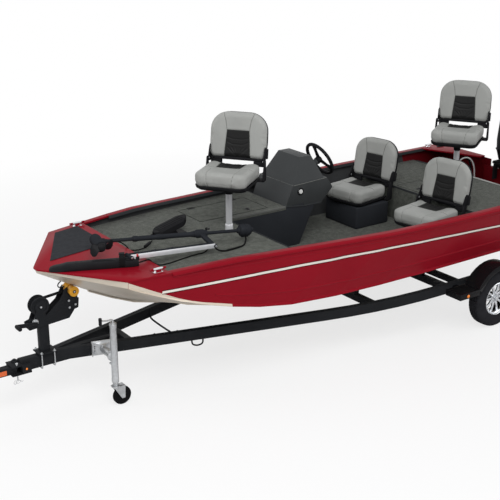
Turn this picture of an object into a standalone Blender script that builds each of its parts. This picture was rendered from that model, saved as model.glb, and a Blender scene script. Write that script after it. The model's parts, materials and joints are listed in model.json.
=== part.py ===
"""Aluminum fishing boat on its bunk trailer, as an assembly of named pieces.

Metres, +X to the bow, +Y to port, +Z up, floor at Z = 0. Every size below is
given from the middle of the axle, and ROOT moves the whole assembly so that its
origin is the middle of the bottom of its bounding box.
"""

import math

import bmesh
import bpy
from mathutils import Matrix, Vector

# Frame and clearances
AXLE_X = -1.650
GAP = 0.0003
PIN_GAP = 0.0006
WALL = 0.006

# Hull plating: station ahead of the axle, keel height, chine half-breadth and height, rail half-breadth and height
HULL_COLUMNS = ("x", "keel_z", "chine_y", "chine_z", "rail_y", "rail_z")
STERN_X = -1.170
KNUCKLE_X = 3.590
NOSE_X = 4.000
HULL_TABLE = (
    (STERN_X, 0.560, 0.800, 0.640, 0.985, 1.135),
    (0.300, 0.555, 0.800, 0.636, 0.990, 1.130),
    (1.300, 0.555, 0.790, 0.634, 0.950, 1.135),
    (2.200, 0.560, 0.765, 0.668, 0.860, 1.155),
    (2.750, 0.592, 0.740, 0.775, 0.800, 1.165),
    (3.200, 0.680, 0.700, 0.915, 0.735, 1.150),
    (KNUCKLE_X, 0.860, 0.655, 1.085, 0.662, 1.135),
    (NOSE_X, 1.092, 0.020, 1.106, 0.022, 1.120),
)
CAVITY_END_X = NOSE_X - 0.200
HULL_STATIONS = (STERN_X, -0.6, -0.1, 0.3, 0.8, 1.3, 1.75, 2.2, 2.5, 2.75, 3.0, 3.2, 3.4, KNUCKLE_X, CAVITY_END_X, NOSE_X)
NOTCH_HALF = 0.240
NOTCH_Z = 1.065

# Rails and bow cap
RAIL_WIDTH = 0.055
RAIL_THICK = 0.014
RAIL_OVERHANG = 0.008
CAP_AFT_X = 3.270
CAP_THICK = 0.014
CAP_SLOPE = math.atan2(0.030, 0.800)

# Decks and floor
FLOOR_Z = 0.717
FLOOR_THICK = 0.016
BOW_DECK_Z = 1.100
AFT_DECK_Z = 1.040
DECK_THICK = 0.014
BOW_DECK_AFT_X = 2.140
SIDE_DECK_AFT_X = 1.500
SIDE_Y = -0.230
AFT_DECK_FRONT_X = 0.120
AFT_DECK_AFT_X = -0.745
PANEL_THICK = 0.012

# Lids: name, x from, x to, y from, y to, deck height
LID_COLUMNS = ("name", "x0", "x1", "y0", "y1", "z")
LIDS = (
    ("side_deck_lid", 1.640, 2.360, -0.690, -0.300, BOW_DECK_Z),
    ("aft_deck_lid", -0.240, 0.080, -0.330, 0.330, AFT_DECK_Z),
)
LID_CLEAR = 0.005
LID_THICK = 0.012
LID_LEDGE = 0.018

# Console and helm, outline ahead of the axle and up
CONSOLE_LOW = ((1.500, 1.1003), (1.425, 1.281), (1.036, 1.300), (0.966, 1.197), (1.098, 1.073), (1.300, 1.073),
               (1.300, 1.1003))
CONSOLE_TOP_X = (1.275, 1.150)
CONSOLE_TOP_Z = 1.500
CONSOLE_TOP_Y = (-0.325, -0.654)
CONSOLE_OUT_Y = -0.740
HELM_CENTRE = (0.905, -0.500, 1.395)
HELM_TILT = math.radians(28)
HELM_RADIUS = 0.165
HELM_GRIP = 0.013

# Seats: name, x, y, height of the pan's underside, yaw in degrees
SEAT_COLUMNS = ("name", "x", "y", "z", "yaw", "back_drop")
SEATS = (
    ("bow", BOW_DECK_AFT_X + 0.130, 0.000, 1.485, 37.0, 0.0),
    ("driver", 0.450, -0.470, 0.930, 10.0, 0.0),
    ("passenger", 0.450, 0.490, 0.930, 10.0, 0.0),
    ("stern", -0.390, 0.000, 1.465, 33.0, 0.0),
)
PAN_HALF = 0.258
PAN_PLATE = (-0.190, 0.235, 0.212)
PAN_REAR = (-0.215, -0.120)
PAN_THICK = 0.026
EAR_THICK = 0.013
ARM_THICK = 0.008
CUSHION_HALF = 0.230
CUSHION_TOP = 0.155
CUSHION_FRONT = 0.262
CUSHION_REAR = -0.175
HINGE_X = -0.190
HINGE_Z = 0.165
BACK_LEAN = math.radians(10)
BACK_HALF = 0.252
BACK_TOP = 0.404
BACK_LOW = 0.030
BACK_THICK = 0.065
BACK_OFFSET = 0.012
POST_RADIUS = 0.027
SWIVEL_THICK = 0.018
SEAT_BOX = (0.250, 0.655, -0.700, -0.240)

# Outboard
TRANSOM_Z = 1.072
TILT_X = -1.120
TILT_Z = 1.125
STEER_X = -1.290
PROP_Z = 0.420
PROP_RADIUS = 0.150

# Trailer
TYRE_RADIUS = 0.267
TYRE_WIDTH = 0.140
RIM_RADIUS = 0.155
TRACK_HALF = 0.930
RAIL_TOP_Z = 0.450
RAIL_HEIGHT = 0.085
RAIL_TUBE = 0.050
RAIL_SIDE_Y = TRACK_HALF - 0.150
RAIL_BEND_X = 1.150
RAIL_BEND_REACH = 0.600
RAIL_BEND_STEPS = 5
RAIL_AFT_X = -1.020
TONGUE_X = 3.960
HINGE_PIN = (4.215, -0.040)
TONGUE_Z = 0.373
TONGUE_TUBE = 0.060
COUPLER_TIP_X = 4.950
BUNK_Y = 0.450
BUNK_WIDTH = 0.090
BUNK_THICK = 0.038
BUNK_GAP = 0.003
BUNK_SPAN = (-1.050, 1.700)
CROSS_X = (-0.850, 0.450, 1.250)
LEAF_OUTLINE = ((-0.330, 0.048), (-0.200, 0.022), (0.0, 0.010), (0.200, 0.022), (0.330, 0.048), (0.330, 0.032),
                (0.200, 0.004), (0.0, -0.010), (-0.200, 0.004), (-0.330, 0.032))
FENDER_RADIUS = 0.335
FENDER_Y = (TRACK_HALF - 0.084, TRACK_HALF + 0.092)
FENDER_START = 28
FENDER_THICK = 0.006
FENDER_LIP = 0.045
JACK_X = 3.560
JACK_Y = 0.330
JACK_PIVOT_Z = 0.410
JACK_TUBE_RADIUS = 0.027
CASTER_RADIUS = 0.076
CASTER_TRAIL = 0.050
JACK_TOP_Z = 0.690
ROLLER = (3.735, 0.9030)
ROLLER_RADIUS = 0.040
ROLLER_WAIST = 0.034
ROLLER_CORE = 0.014
REEL = (4.005, 0.835)
DRUM_RADIUS = 0.045
STRAP_END = (3.806, 0.0, 0.900)

# Bow trolling motor, stowed
MOUNT_FRONT = (3.950, 0.120)
MOUNT_AFT = (3.370, 0.430)
SHAFT_FRONT = (3.480, 0.085, 1.262)
SHAFT_AFT = (2.360, 0.345, 1.206)
ARM_Z = 1.210
ARM_HEIGHT = 0.022
ARM_AFT = (2.700, 0.400, 1.150)
TROLLING_PROP_RADIUS = 0.096
PEDAL = (2.750, -0.170)

MATERIALS = {
    "red_paint": ((0.270, 0.012, 0.022, 1), 0.30, 0.35),
    "bare_aluminum": ((0.560, 0.530, 0.470, 1), 0.30, 0.85),
    "carpet": ((0.060, 0.064, 0.058, 1), 0.95, 0.0),
    "dark_plastic": ((0.035, 0.036, 0.039, 1), 0.50, 0.0),
    "black_plastic": ((0.012, 0.012, 0.013, 1), 0.45, 0.0),
    "black_steel": ((0.010, 0.010, 0.011, 1), 0.35, 0.25),
    "grey_vinyl": ((0.360, 0.370, 0.355, 1), 0.55, 0.0),
    "zinc": ((0.550, 0.560, 0.570, 1), 0.35, 0.90),
    "rubber": ((0.015, 0.015, 0.015, 1), 0.85, 0.0),
    "yellow_rubber": ((0.620, 0.330, 0.060, 1), 0.50, 0.0),
    "chrome": ((0.700, 0.700, 0.700, 1), 0.12, 1.0),
    "wood_carpet": ((0.020, 0.020, 0.022, 1), 0.95, 0.0),
    "strap": ((0.020, 0.020, 0.020, 1), 0.80, 0.0),
}


# Scene and helpers

def clear_scene():
    """Remove what a new scene holds."""
    for item in list(bpy.data.objects):
        bpy.data.objects.remove(item, do_unlink=True)


def make_material(key):
    """Return the named material, made on first use."""
    if key in bpy.data.materials:
        return bpy.data.materials[key]
    colour, roughness, metallic = MATERIALS[key]
    material = bpy.data.materials.new(key)
    material.use_nodes = True
    shader = material.node_tree.nodes["Principled BSDF"]
    shader.inputs["Base Color"].default_value = colour
    shader.inputs["Roughness"].default_value = roughness
    shader.inputs["Metallic"].default_value = metallic
    material.diffuse_color = colour
    return material


def add_object(mesh):
    """Link a scratch object that holds this mesh."""
    item = bpy.data.objects.new("scratch", mesh)
    bpy.context.scene.collection.objects.link(item)
    return item


def from_bmesh(shape):
    """Turn a bmesh into a scratch object."""
    mesh = bpy.data.meshes.new("scratch")
    shape.to_mesh(mesh)
    shape.free()
    return add_object(mesh)


def block(x0, x1, y0, y1, z0, z1, bevel=0.0, segments=2):
    """Box between limits, with its edges rounded where a bevel is given."""
    shape = bmesh.new()
    bmesh.ops.create_cube(shape, size=1.0)
    bmesh.ops.scale(shape, vec=(x1 - x0, y1 - y0, z1 - z0), verts=shape.verts)
    bmesh.ops.translate(shape, vec=((x0 + x1) / 2, (y0 + y1) / 2, (z0 + z1) / 2), verts=shape.verts)
    if bevel > 0:
        bmesh.ops.bevel(shape, geom=shape.edges[:], offset=bevel, segments=segments, profile=0.5, affect="EDGES")
    return from_bmesh(shape)


def rod(start, end, radius, sides=16, end_radius=None):
    """Cylinder or cone from one point to another."""
    start, end = Vector(start), Vector(end)
    along = end - start
    shape = bmesh.new()
    bmesh.ops.create_cone(shape, cap_ends=True, segments=sides, radius1=radius,
                          radius2=radius if end_radius is None else end_radius, depth=along.length)
    turn = along.to_track_quat("Z", "Y").to_matrix().to_4x4()
    bmesh.ops.transform(shape, matrix=Matrix.Translation((start + end) / 2) @ turn, verts=shape.verts)
    return from_bmesh(shape)


def bar(start, end, width, height):
    """Rectangular tube or bar between two points, its height kept upright."""
    start, end = Vector(start), Vector(end)
    along = (end - start).normalized()
    side = Vector((0, 0, 1)).cross(along).normalized()
    up = along.cross(side)
    frame = Matrix((along, side, up)).transposed().to_4x4()
    shape = bmesh.new()
    bmesh.ops.create_cube(shape, size=1.0)
    bmesh.ops.scale(shape, vec=((end - start).length, width, height), verts=shape.verts)
    bmesh.ops.transform(shape, matrix=Matrix.Translation((start + end) / 2) @ frame, verts=shape.verts)
    return from_bmesh(shape)


def curve_to_mesh(curve, matrix):
    """Evaluate a curve, weld its caps and return a scratch object."""
    item = bpy.data.objects.new("scratch_curve", curve)
    bpy.context.scene.collection.objects.link(item)
    bpy.context.view_layer.update()
    evaluated = item.evaluated_get(bpy.context.evaluated_depsgraph_get())
    mesh = bpy.data.meshes.new_from_object(evaluated)
    bpy.data.objects.remove(item, do_unlink=True)
    mesh.transform(matrix)
    shape = bmesh.new()
    shape.from_mesh(mesh)
    bmesh.ops.remove_doubles(shape, verts=shape.verts, dist=0.00005)
    bmesh.ops.recalc_face_normals(shape, faces=shape.faces)
    return from_bmesh(shape)


PLANES = {
    "XY": Matrix(((1, 0, 0, 0), (0, 1, 0, 0), (0, 0, 1, 0), (0, 0, 0, 1))),
    "XZ": Matrix(((1, 0, 0, 0), (0, 0, -1, 0), (0, 1, 0, 0), (0, 0, 0, 1))),
    "YZ": Matrix(((0, 0, 1, 0), (1, 0, 0, 0), (0, 1, 0, 0), (0, 0, 0, 1))),
}


def plate(outline, low, high, plane="XZ"):
    """Flat outline with a thickness from low to high across its plane."""
    curve = bpy.data.curves.new("outline", "CURVE")
    curve.dimensions = "2D"
    curve.fill_mode = "BOTH"
    curve.extrude = abs(high - low) / 2
    spline = curve.splines.new("POLY")
    spline.points.add(len(outline) - 1)
    for point, (u, v) in zip(spline.points, outline):
        point.co = (u, v, 0, 1)
    spline.use_cyclic_u = True
    middle = (low + high) / 2
    shift = {"XY": (0, 0, middle), "XZ": (0, middle, 0), "YZ": (middle, 0, 0)}[plane]
    return curve_to_mesh(curve, Matrix.Translation(shift) @ PLANES[plane])


def tube(points, radius, resolution=2):
    """Round tube or wire through these points."""
    curve = bpy.data.curves.new("path", "CURVE")
    curve.dimensions = "3D"
    curve.bevel_depth = radius
    curve.bevel_resolution = resolution
    curve.use_fill_caps = True
    spline = curve.splines.new("POLY")
    spline.points.add(len(points) - 1)
    for point, place in zip(spline.points, points):
        point.co = (*place, 1)
    return curve_to_mesh(curve, Matrix.Identity(4))


def turned(profile, centre, axis="Z", steps=32):
    """Solid of revolution from (radius, height) points that run top to bottom."""
    mesh = bpy.data.meshes.new("profile")
    shape = bmesh.new()
    places = [shape.verts.new((radius, 0, height)) for radius, height in profile]
    closed = profile[0][0] > 0
    pairs = list(zip(places, places[1:]))
    if closed:
        pairs.append((places[-1], places[0]))
    for first, second in pairs:
        shape.edges.new((first, second))
    shape.to_mesh(mesh)
    shape.free()
    item = add_object(mesh)
    screw = item.modifiers.new("turn", "SCREW")
    screw.steps = steps
    screw.render_steps = steps
    screw.use_merge_vertices = True
    screw.merge_threshold = 0.00001
    apply_modifiers(item)
    shape = bmesh.new()
    shape.from_mesh(item.data)
    bmesh.ops.remove_doubles(shape, verts=shape.verts, dist=0.00001)
    bmesh.ops.recalc_face_normals(shape, faces=shape.faces)
    shape.to_mesh(item.data)
    shape.free()
    turn = {"Z": Matrix.Identity(4), "Y": Matrix.Rotation(math.radians(-90), 4, "X"),
            "X": Matrix.Rotation(math.radians(90), 4, "Y")}[axis]
    item.data.transform(Matrix.Translation(centre) @ turn)
    return item


def loft(rings):
    """Closed solid through rings with equal numbers of points, its ends filled."""
    shape = bmesh.new()
    rows = [[shape.verts.new(place) for place in ring] for ring in rings]
    count = len(rows[0])
    for near, far in zip(rows, rows[1:]):
        for index in range(count):
            following = (index + 1) % count
            shape.faces.new((near[index], near[following], far[following], far[index]))
    shape.faces.new(rows[0])
    shape.faces.new(rows[-1])
    bmesh.ops.triangulate(shape, faces=shape.faces[:], quad_method="FIXED")
    bmesh.ops.recalc_face_normals(shape, faces=shape.faces)
    return from_bmesh(shape)


def apply_modifiers(item):
    """Replace an object's mesh by its evaluated mesh."""
    bpy.context.view_layer.update()
    evaluated = item.evaluated_get(bpy.context.evaluated_depsgraph_get())
    mesh = bpy.data.meshes.new_from_object(evaluated)
    item.modifiers.clear()
    item.data = mesh


def combine(target, tool, operation):
    """Boolean of two scratch objects, which takes the second one away."""
    modifier = target.modifiers.new("combine", "BOOLEAN")
    modifier.operation = operation
    modifier.solver = "EXACT"
    modifier.object = tool
    apply_modifiers(target)
    bpy.data.objects.remove(tool, do_unlink=True)
    return target


def union(parts):
    """Join scratch objects into one solid."""
    whole = parts[0]
    for piece in parts[1:]:
        whole = combine(whole, piece, "UNION")
    return whole


def cut(target, tools):
    """Cut scratch objects out of the first one."""
    for tool in tools:
        target = combine(target, tool, "DIFFERENCE")
    return target


def turn_mesh(item, angle, axis, about):
    """Rotate a scratch object's mesh about an axis through a point."""
    about = Vector(about)
    item.data.transform(Matrix.Translation(about) @ Matrix.Rotation(angle, 4, axis) @ Matrix.Translation(-about))
    return item


def name_piece(item, name, material, pivot=(0, 0, 0), smooth=False):
    """Name a finished piece, set its origin on its pivot and hang it on the root."""
    shape = bmesh.new()
    shape.from_mesh(item.data)
    bmesh.ops.dissolve_degenerate(shape, edges=shape.edges, dist=0.00002)
    bmesh.ops.triangulate(shape, faces=[face for face in shape.faces if len(face.verts) > 4])
    shape.to_mesh(item.data)
    shape.free()
    item.data.transform(Matrix.Translation(-Vector(pivot)))
    item.name = name
    item.data.name = name
    item.location = pivot
    item.parent = ROOT
    item.data.materials.clear()
    item.data.materials.append(make_material(material))
    if smooth:
        item.data.shade_smooth()
        item.data.set_sharp_from_angle(angle=math.radians(35))
    for holder in list(item.users_collection):
        holder.objects.unlink(item)
    PARTS.objects.link(item)
    return item


# Hull lines

def hull_at(x):
    """Read the hull table at a station, smooth to the knuckle and straight on to the nose."""
    rows = HULL_TABLE
    index = max(i for i in range(len(rows) - 1) if rows[i][0] <= x + 1e-9)
    low, high = rows[index], rows[index + 1]
    share = (x - low[0]) / (high[0] - low[0])
    values = []
    for column in range(1, 6):
        straight = (high[column] - low[column]) / (high[0] - low[0])
        if high[0] > KNUCKLE_X:
            values.append(low[column] + straight * (x - low[0]))
            continue
        before = rows[index - 1] if index > 0 else None
        after = rows[index + 2] if high[0] < KNUCKLE_X else None
        slope_low = straight if before is None else (high[column] - before[column]) / (high[0] - before[0])
        slope_high = straight if after is None else (after[column] - low[column]) / (after[0] - low[0])
        span = high[0] - low[0]
        values.append(
            (2 * share**3 - 3 * share**2 + 1) * low[column]
            + (share**3 - 2 * share**2 + share) * span * slope_low
            + (3 * share**2 - 2 * share**3) * high[column]
            + (share**3 - share**2) * span * slope_high
        )
    return values


def plated_at(x):
    """Keel and chine of the flat plating between two stations."""
    index = max(i for i in range(len(HULL_STATIONS) - 1) if HULL_STATIONS[i] <= x)
    low, high = HULL_STATIONS[index], HULL_STATIONS[index + 1]
    share = (x - low) / (high - low)
    return [a + (b - a) * share for a, b in zip(hull_at(low)[:3], hull_at(high)[:3])]


def hull_ring(x, inset=0.0, top=None):
    """One closed section of the hull, moved in by an inset and ended at a height."""
    keel_z, chine_y, chine_z, rail_y, rail_z = hull_at(x)
    bottom = Vector((chine_y, chine_z - keel_z)).normalized()
    side = Vector((rail_y - chine_y, rail_z - chine_z)).normalized()
    bottom_in = Vector((-bottom.y, bottom.x))
    side_in = Vector((-side.y, side.x))
    chine = Vector((chine_y, chine_z)) + inset * (bottom_in + side_in) / (1 + bottom_in.dot(side_in))
    keel = keel_z + inset / bottom.x
    rail = chine + side * ((rail_z - chine.y) / side.y)
    half = [(rail.x, rail.y), (chine.x, chine.y)]
    if top is not None:
        half.insert(0, (rail.x, top))
    points = [(y, z) for y, z in half] + [(0.0, keel)] + [(-y, z) for y, z in reversed(half)]
    return [(x, y, z) for y, z in points]


def hull_solid(inset, first, last, top=None):
    """Solid of the hull's form between two stations."""
    stations = [first] + [x for x in HULL_STATIONS if first < x < last] + [last]
    return loft([hull_ring(x, inset, top) for x in stations])


def fitted(item, inset=WALL + GAP):
    """Trim a scratch object to the inside of the hull."""
    room = hull_solid(inset, STERN_X + WALL + GAP, CAVITY_END_X - GAP, 1.6)
    return combine(item, room, "INTERSECT")


def build_hull():
    """Hull skin with an open cockpit and the transom's notch."""
    skin = hull_solid(0.0, STERN_X, NOSE_X)
    room = hull_solid(WALL, STERN_X + WALL, CAVITY_END_X, 1.6)
    notch = block(STERN_X - 0.1, STERN_X + 0.05, -NOTCH_HALF, NOTCH_HALF, NOTCH_Z, 1.4)
    skin = cut(skin, [room, notch])
    name_piece(skin, "hull_shell", "red_paint")


def rail_ring(x, side):
    """Section of the rail cap on one side."""
    keel_z, chine_y, chine_z, rail_y, rail_z = hull_at(x)
    outer = side * (rail_y + RAIL_OVERHANG)
    inner = side * (rail_y - RAIL_WIDTH + RAIL_OVERHANG)
    low = rail_z + GAP
    high = rail_z + RAIL_THICK
    return [(x, outer, low), (x, outer, high), (x, inner, high), (x, inner, low)]


def build_rails():
    """Rail caps along both sides from the bow cap to the stern."""
    stations = [x for x in HULL_STATIONS if x < CAP_AFT_X] + [CAP_AFT_X - GAP]
    for side, name in ((1, "rail_cap_port"), (-1, "rail_cap_starboard")):
        cap = loft([rail_ring(x, side) for x in stations])
        inner = hull_at(STERN_X)[3] - RAIL_WIDTH
        outline = ((-0.860, inner + 0.020), (STERN_X - 0.008, inner + 0.020), (STERN_X - 0.008, NOTCH_HALF + 0.10),
                   (STERN_X + 0.060, NOTCH_HALF + 0.10))
        base_z = hull_at(STERN_X)[4] + 2 * GAP
        corner = plate([(x, side * y) for x, y in outline], base_z, base_z + RAIL_THICK, "XY")
        name_piece(union([cap, corner]), name, "red_paint")


def cap_top(x):
    """Height of the bow cap's upper face."""
    return hull_at(KNUCKLE_X)[4] + CAP_THICK + (KNUCKLE_X - x) * math.tan(CAP_SLOPE)


def build_bow_cap():
    """Red cap over the bow, with its pad and cleats."""
    edge = []
    for x in (CAP_AFT_X, 3.43, KNUCKLE_X):
        edge.append((x, hull_at(x)[3] + RAIL_OVERHANG))
    outline = edge + [(NOSE_X + 0.012, 0.028), (NOSE_X + 0.012, -0.028)] + [(x, -y) for x, y in reversed(edge)]
    knuckle_z = hull_at(KNUCKLE_X)[4]
    cap = plate(outline, GAP * 2, CAP_THICK, "XY")
    cap.data.transform(Matrix.Translation((0, 0, knuckle_z)))
    turn_mesh(cap, CAP_SLOPE, "Y", (KNUCKLE_X, 0, knuckle_z))
    for side in (1, -1):
        x, y, z = 3.340, side * 0.655, cap_top(3.340)
        cap = union([cap, block(x - 0.022, x + 0.022, y - 0.012, y + 0.012, z - 0.006, z + 0.020),
                     rod((x - 0.065, y, z + 0.026), (x + 0.065, y, z + 0.026), 0.009, 10)])
    name_piece(cap, "bow_cap", "red_paint")

    pad_outline = ((3.345, -0.640), (3.345, -0.110), (3.860, -0.060), (3.560, -0.610))
    pad = plate(pad_outline, CAP_THICK + GAP, CAP_THICK + 0.006, "XY")
    pad.data.transform(Matrix.Translation((0, 0, knuckle_z)))
    turn_mesh(pad, CAP_SLOPE, "Y", (KNUCKLE_X, 0, knuckle_z))
    name_piece(pad, "bow_pad", "carpet")


# Inside the hull

def lid_cutters(deck_z):
    """Openings for the lids in a deck of this height."""
    tools = []
    for name, x0, x1, y0, y1, z in LIDS:
        if z == deck_z:
            tools.append(block(x0, x1, y0, y1, z - LID_THICK - PIN_GAP, z + 0.1))
            tools.append(block(x0 + LID_LEDGE, x1 - LID_LEDGE, y0 + LID_LEDGE, y1 - LID_LEDGE, z - 0.1, z))
    return tools


def build_floor():
    """Cockpit floor."""
    floor = block(STERN_X + 0.3, BOW_DECK_AFT_X + 0.45, -1.2, 1.2, FLOOR_Z - FLOOR_THICK, FLOOR_Z)
    name_piece(fitted(floor), "cockpit_floor", "carpet")


def build_bow_deck():
    """Bow deck with its side deck, bulkhead and lid opening."""
    low = BOW_DECK_Z - DECK_THICK * 2
    main = block(BOW_DECK_AFT_X, 3.700, -1.2, 1.2, low, BOW_DECK_Z)
    side = block(SIDE_DECK_AFT_X, BOW_DECK_AFT_X + 0.02, -1.2, SIDE_Y, low, BOW_DECK_Z)
    bulkhead = block(BOW_DECK_AFT_X, BOW_DECK_AFT_X + PANEL_THICK, -1.2, 1.2, FLOOR_Z + GAP, BOW_DECK_Z - 0.005)
    deck = fitted(union([main, side, bulkhead]))
    deck = cut(deck, lid_cutters(BOW_DECK_Z))
    name_piece(deck, "bow_deck", "carpet")


def build_aft_deck():
    """Aft deck with its two bulkheads and lid opening."""
    low = AFT_DECK_Z - DECK_THICK * 2
    top = block(AFT_DECK_AFT_X, AFT_DECK_FRONT_X, -1.2, 1.2, low, AFT_DECK_Z)
    front = block(AFT_DECK_FRONT_X - PANEL_THICK, AFT_DECK_FRONT_X, -1.2, 1.2, FLOOR_Z + GAP, AFT_DECK_Z - 0.005)
    aft = block(AFT_DECK_AFT_X, AFT_DECK_AFT_X + PANEL_THICK, -1.2, 1.2, FLOOR_Z + GAP, AFT_DECK_Z - 0.005)
    deck = fitted(union([top, front, aft]))
    deck = cut(deck, lid_cutters(AFT_DECK_Z))
    name_piece(deck, "aft_deck", "carpet")


def build_lids():
    """Storage lids, hinged on their outer or aft edge."""
    for name, x0, x1, y0, y1, z in LIDS:
        lid = block(x0 + LID_CLEAR, x1 - LID_CLEAR, y0 + LID_CLEAR, y1 - LID_CLEAR, z - LID_THICK, z)
        if name == "side_deck_lid":
            pivot = ((x0 + x1) / 2, y0 + LID_CLEAR, z)
        else:
            pivot = (x0 + LID_CLEAR, (y0 + y1) / 2, z)
        name_piece(lid, name, "carpet", pivot)


def build_splash_well():
    """Splash well and stern cap around the motor's notch."""
    floor_z = 0.900
    front_x = AFT_DECK_AFT_X - GAP
    well = block(STERN_X + 0.02, front_x, -1.2, 1.2, floor_z, floor_z + 0.008)
    front = block(front_x - 0.008, front_x, -1.2, 1.2, floor_z, AFT_DECK_Z)
    back = block(STERN_X + WALL + GAP, STERN_X + 0.040, -NOTCH_HALF - 0.06, NOTCH_HALF + 0.06, 0.620, TRANSOM_Z - 0.008)
    well = fitted(union([well, front, back]))
    name_piece(well, "splash_well", "red_paint")


def build_console():
    """Helm console, its side panel and the footwell's front."""
    middle_z = CONSOLE_LOW[1][1]
    low = plate(CONSOLE_LOW, CONSOLE_OUT_Y, SIDE_Y, "XZ")
    rings = []
    for share in (0.0, 1.0):
        front_x = CONSOLE_LOW[1][0] + (CONSOLE_TOP_X[0] - CONSOLE_LOW[1][0]) * share
        aft_x = CONSOLE_LOW[2][0] + (CONSOLE_TOP_X[1] - CONSOLE_LOW[2][0]) * share
        port = SIDE_Y - 0.003 + (CONSOLE_TOP_Y[0] - SIDE_Y) * share
        starboard = CONSOLE_OUT_Y + 0.003 + (CONSOLE_TOP_Y[1] - CONSOLE_OUT_Y) * share
        z = middle_z - 0.03 + (CONSOLE_TOP_Z - middle_z + 0.03) * share
        rings.append([(front_x, port, z), (aft_x, port, z), (aft_x, starboard, z), (front_x, starboard, z)])
    top = loft(rings)
    column_start = Vector((1.080, HELM_CENTRE[1], 1.302))
    direction = Vector((-math.cos(HELM_TILT), 0, math.sin(HELM_TILT)))
    column_end = Vector(HELM_CENTRE) - direction * (0.045 + PIN_GAP)
    column = rod(column_start, column_end, 0.040, 20, 0.030)
    console = union([low, top, column])
    name_piece(console, "console", "dark_plastic")

    panel_outline = ((SIDE_DECK_AFT_X - GAP, BOW_DECK_Z - 2 * GAP), (1.302, BOW_DECK_Z - 2 * GAP),
                     (1.302, 1.0724), (1.174, 1.0724), (1.342, FLOOR_Z + GAP), (SIDE_DECK_AFT_X - GAP, FLOOR_Z + GAP))
    panel = plate(panel_outline, SIDE_Y - PANEL_THICK, SIDE_Y, "XZ")
    side_outline = ((SIDE_DECK_AFT_X - 0.01, FLOOR_Z + GAP), (BOW_DECK_AFT_X - GAP, FLOOR_Z + GAP),
                    (BOW_DECK_AFT_X - GAP, BOW_DECK_Z - 2 * DECK_THICK - GAP),
                    (SIDE_DECK_AFT_X - 0.01, BOW_DECK_Z - 2 * DECK_THICK - GAP))
    side = plate(side_outline, SIDE_Y - PANEL_THICK, SIDE_Y, "XZ")
    front = block(SIDE_DECK_AFT_X - GAP - PANEL_THICK, SIDE_DECK_AFT_X - GAP, -1.2, SIDE_Y - 0.002,
                  FLOOR_Z + GAP, BOW_DECK_Z - 2 * GAP)
    panels = fitted(union([panel, side, front]))
    name_piece(panels, "console_side_panel", "dark_plastic")


def build_helm():
    """Three-spoke steering wheel."""
    bpy.ops.mesh.primitive_torus_add(major_radius=HELM_RADIUS, minor_radius=HELM_GRIP, major_segments=30,
                                     minor_segments=8)
    rim = bpy.context.active_object
    pieces = [rim, rod((0, 0, -0.045), (0, 0, 0.010), 0.034, 20)]
    for angle in (90, 210, 330):
        turn = math.radians(angle)
        tip = (HELM_RADIUS * math.cos(turn), HELM_RADIUS * math.sin(turn), 0.0)
        pieces.append(bar((0, 0, -0.010), tip, 0.030, 0.010))
    wheel = union(pieces)
    direction = Vector((-math.cos(HELM_TILT), 0, math.sin(HELM_TILT)))
    turn = direction.to_track_quat("Z", "Y").to_matrix().to_4x4()
    wheel.data.transform(Matrix.Translation(HELM_CENTRE) @ turn)
    name_piece(wheel, "steering_wheel", "black_plastic", HELM_CENTRE, True)


# Seats

def back_outline(drop):
    """Seat back outline across and up, round at its top corners."""
    low = BACK_LOW - drop
    points = [(-BACK_HALF + 0.012, low), (-BACK_HALF, low + 0.012)]
    radius = 0.150
    centre_y = BACK_HALF - 0.022 - radius
    centre_z = BACK_TOP - drop - radius
    for side in (-1, 1):
        for step in range(6):
            angle = math.radians(180 - 18 * step) if side < 0 else math.radians(90 - 18 * step)
            points.append((side * centre_y + radius * math.cos(angle), centre_z + radius * math.sin(angle)))
    points += [(BACK_HALF, low + 0.012), (BACK_HALF - 0.012, low)]
    return points


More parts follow.
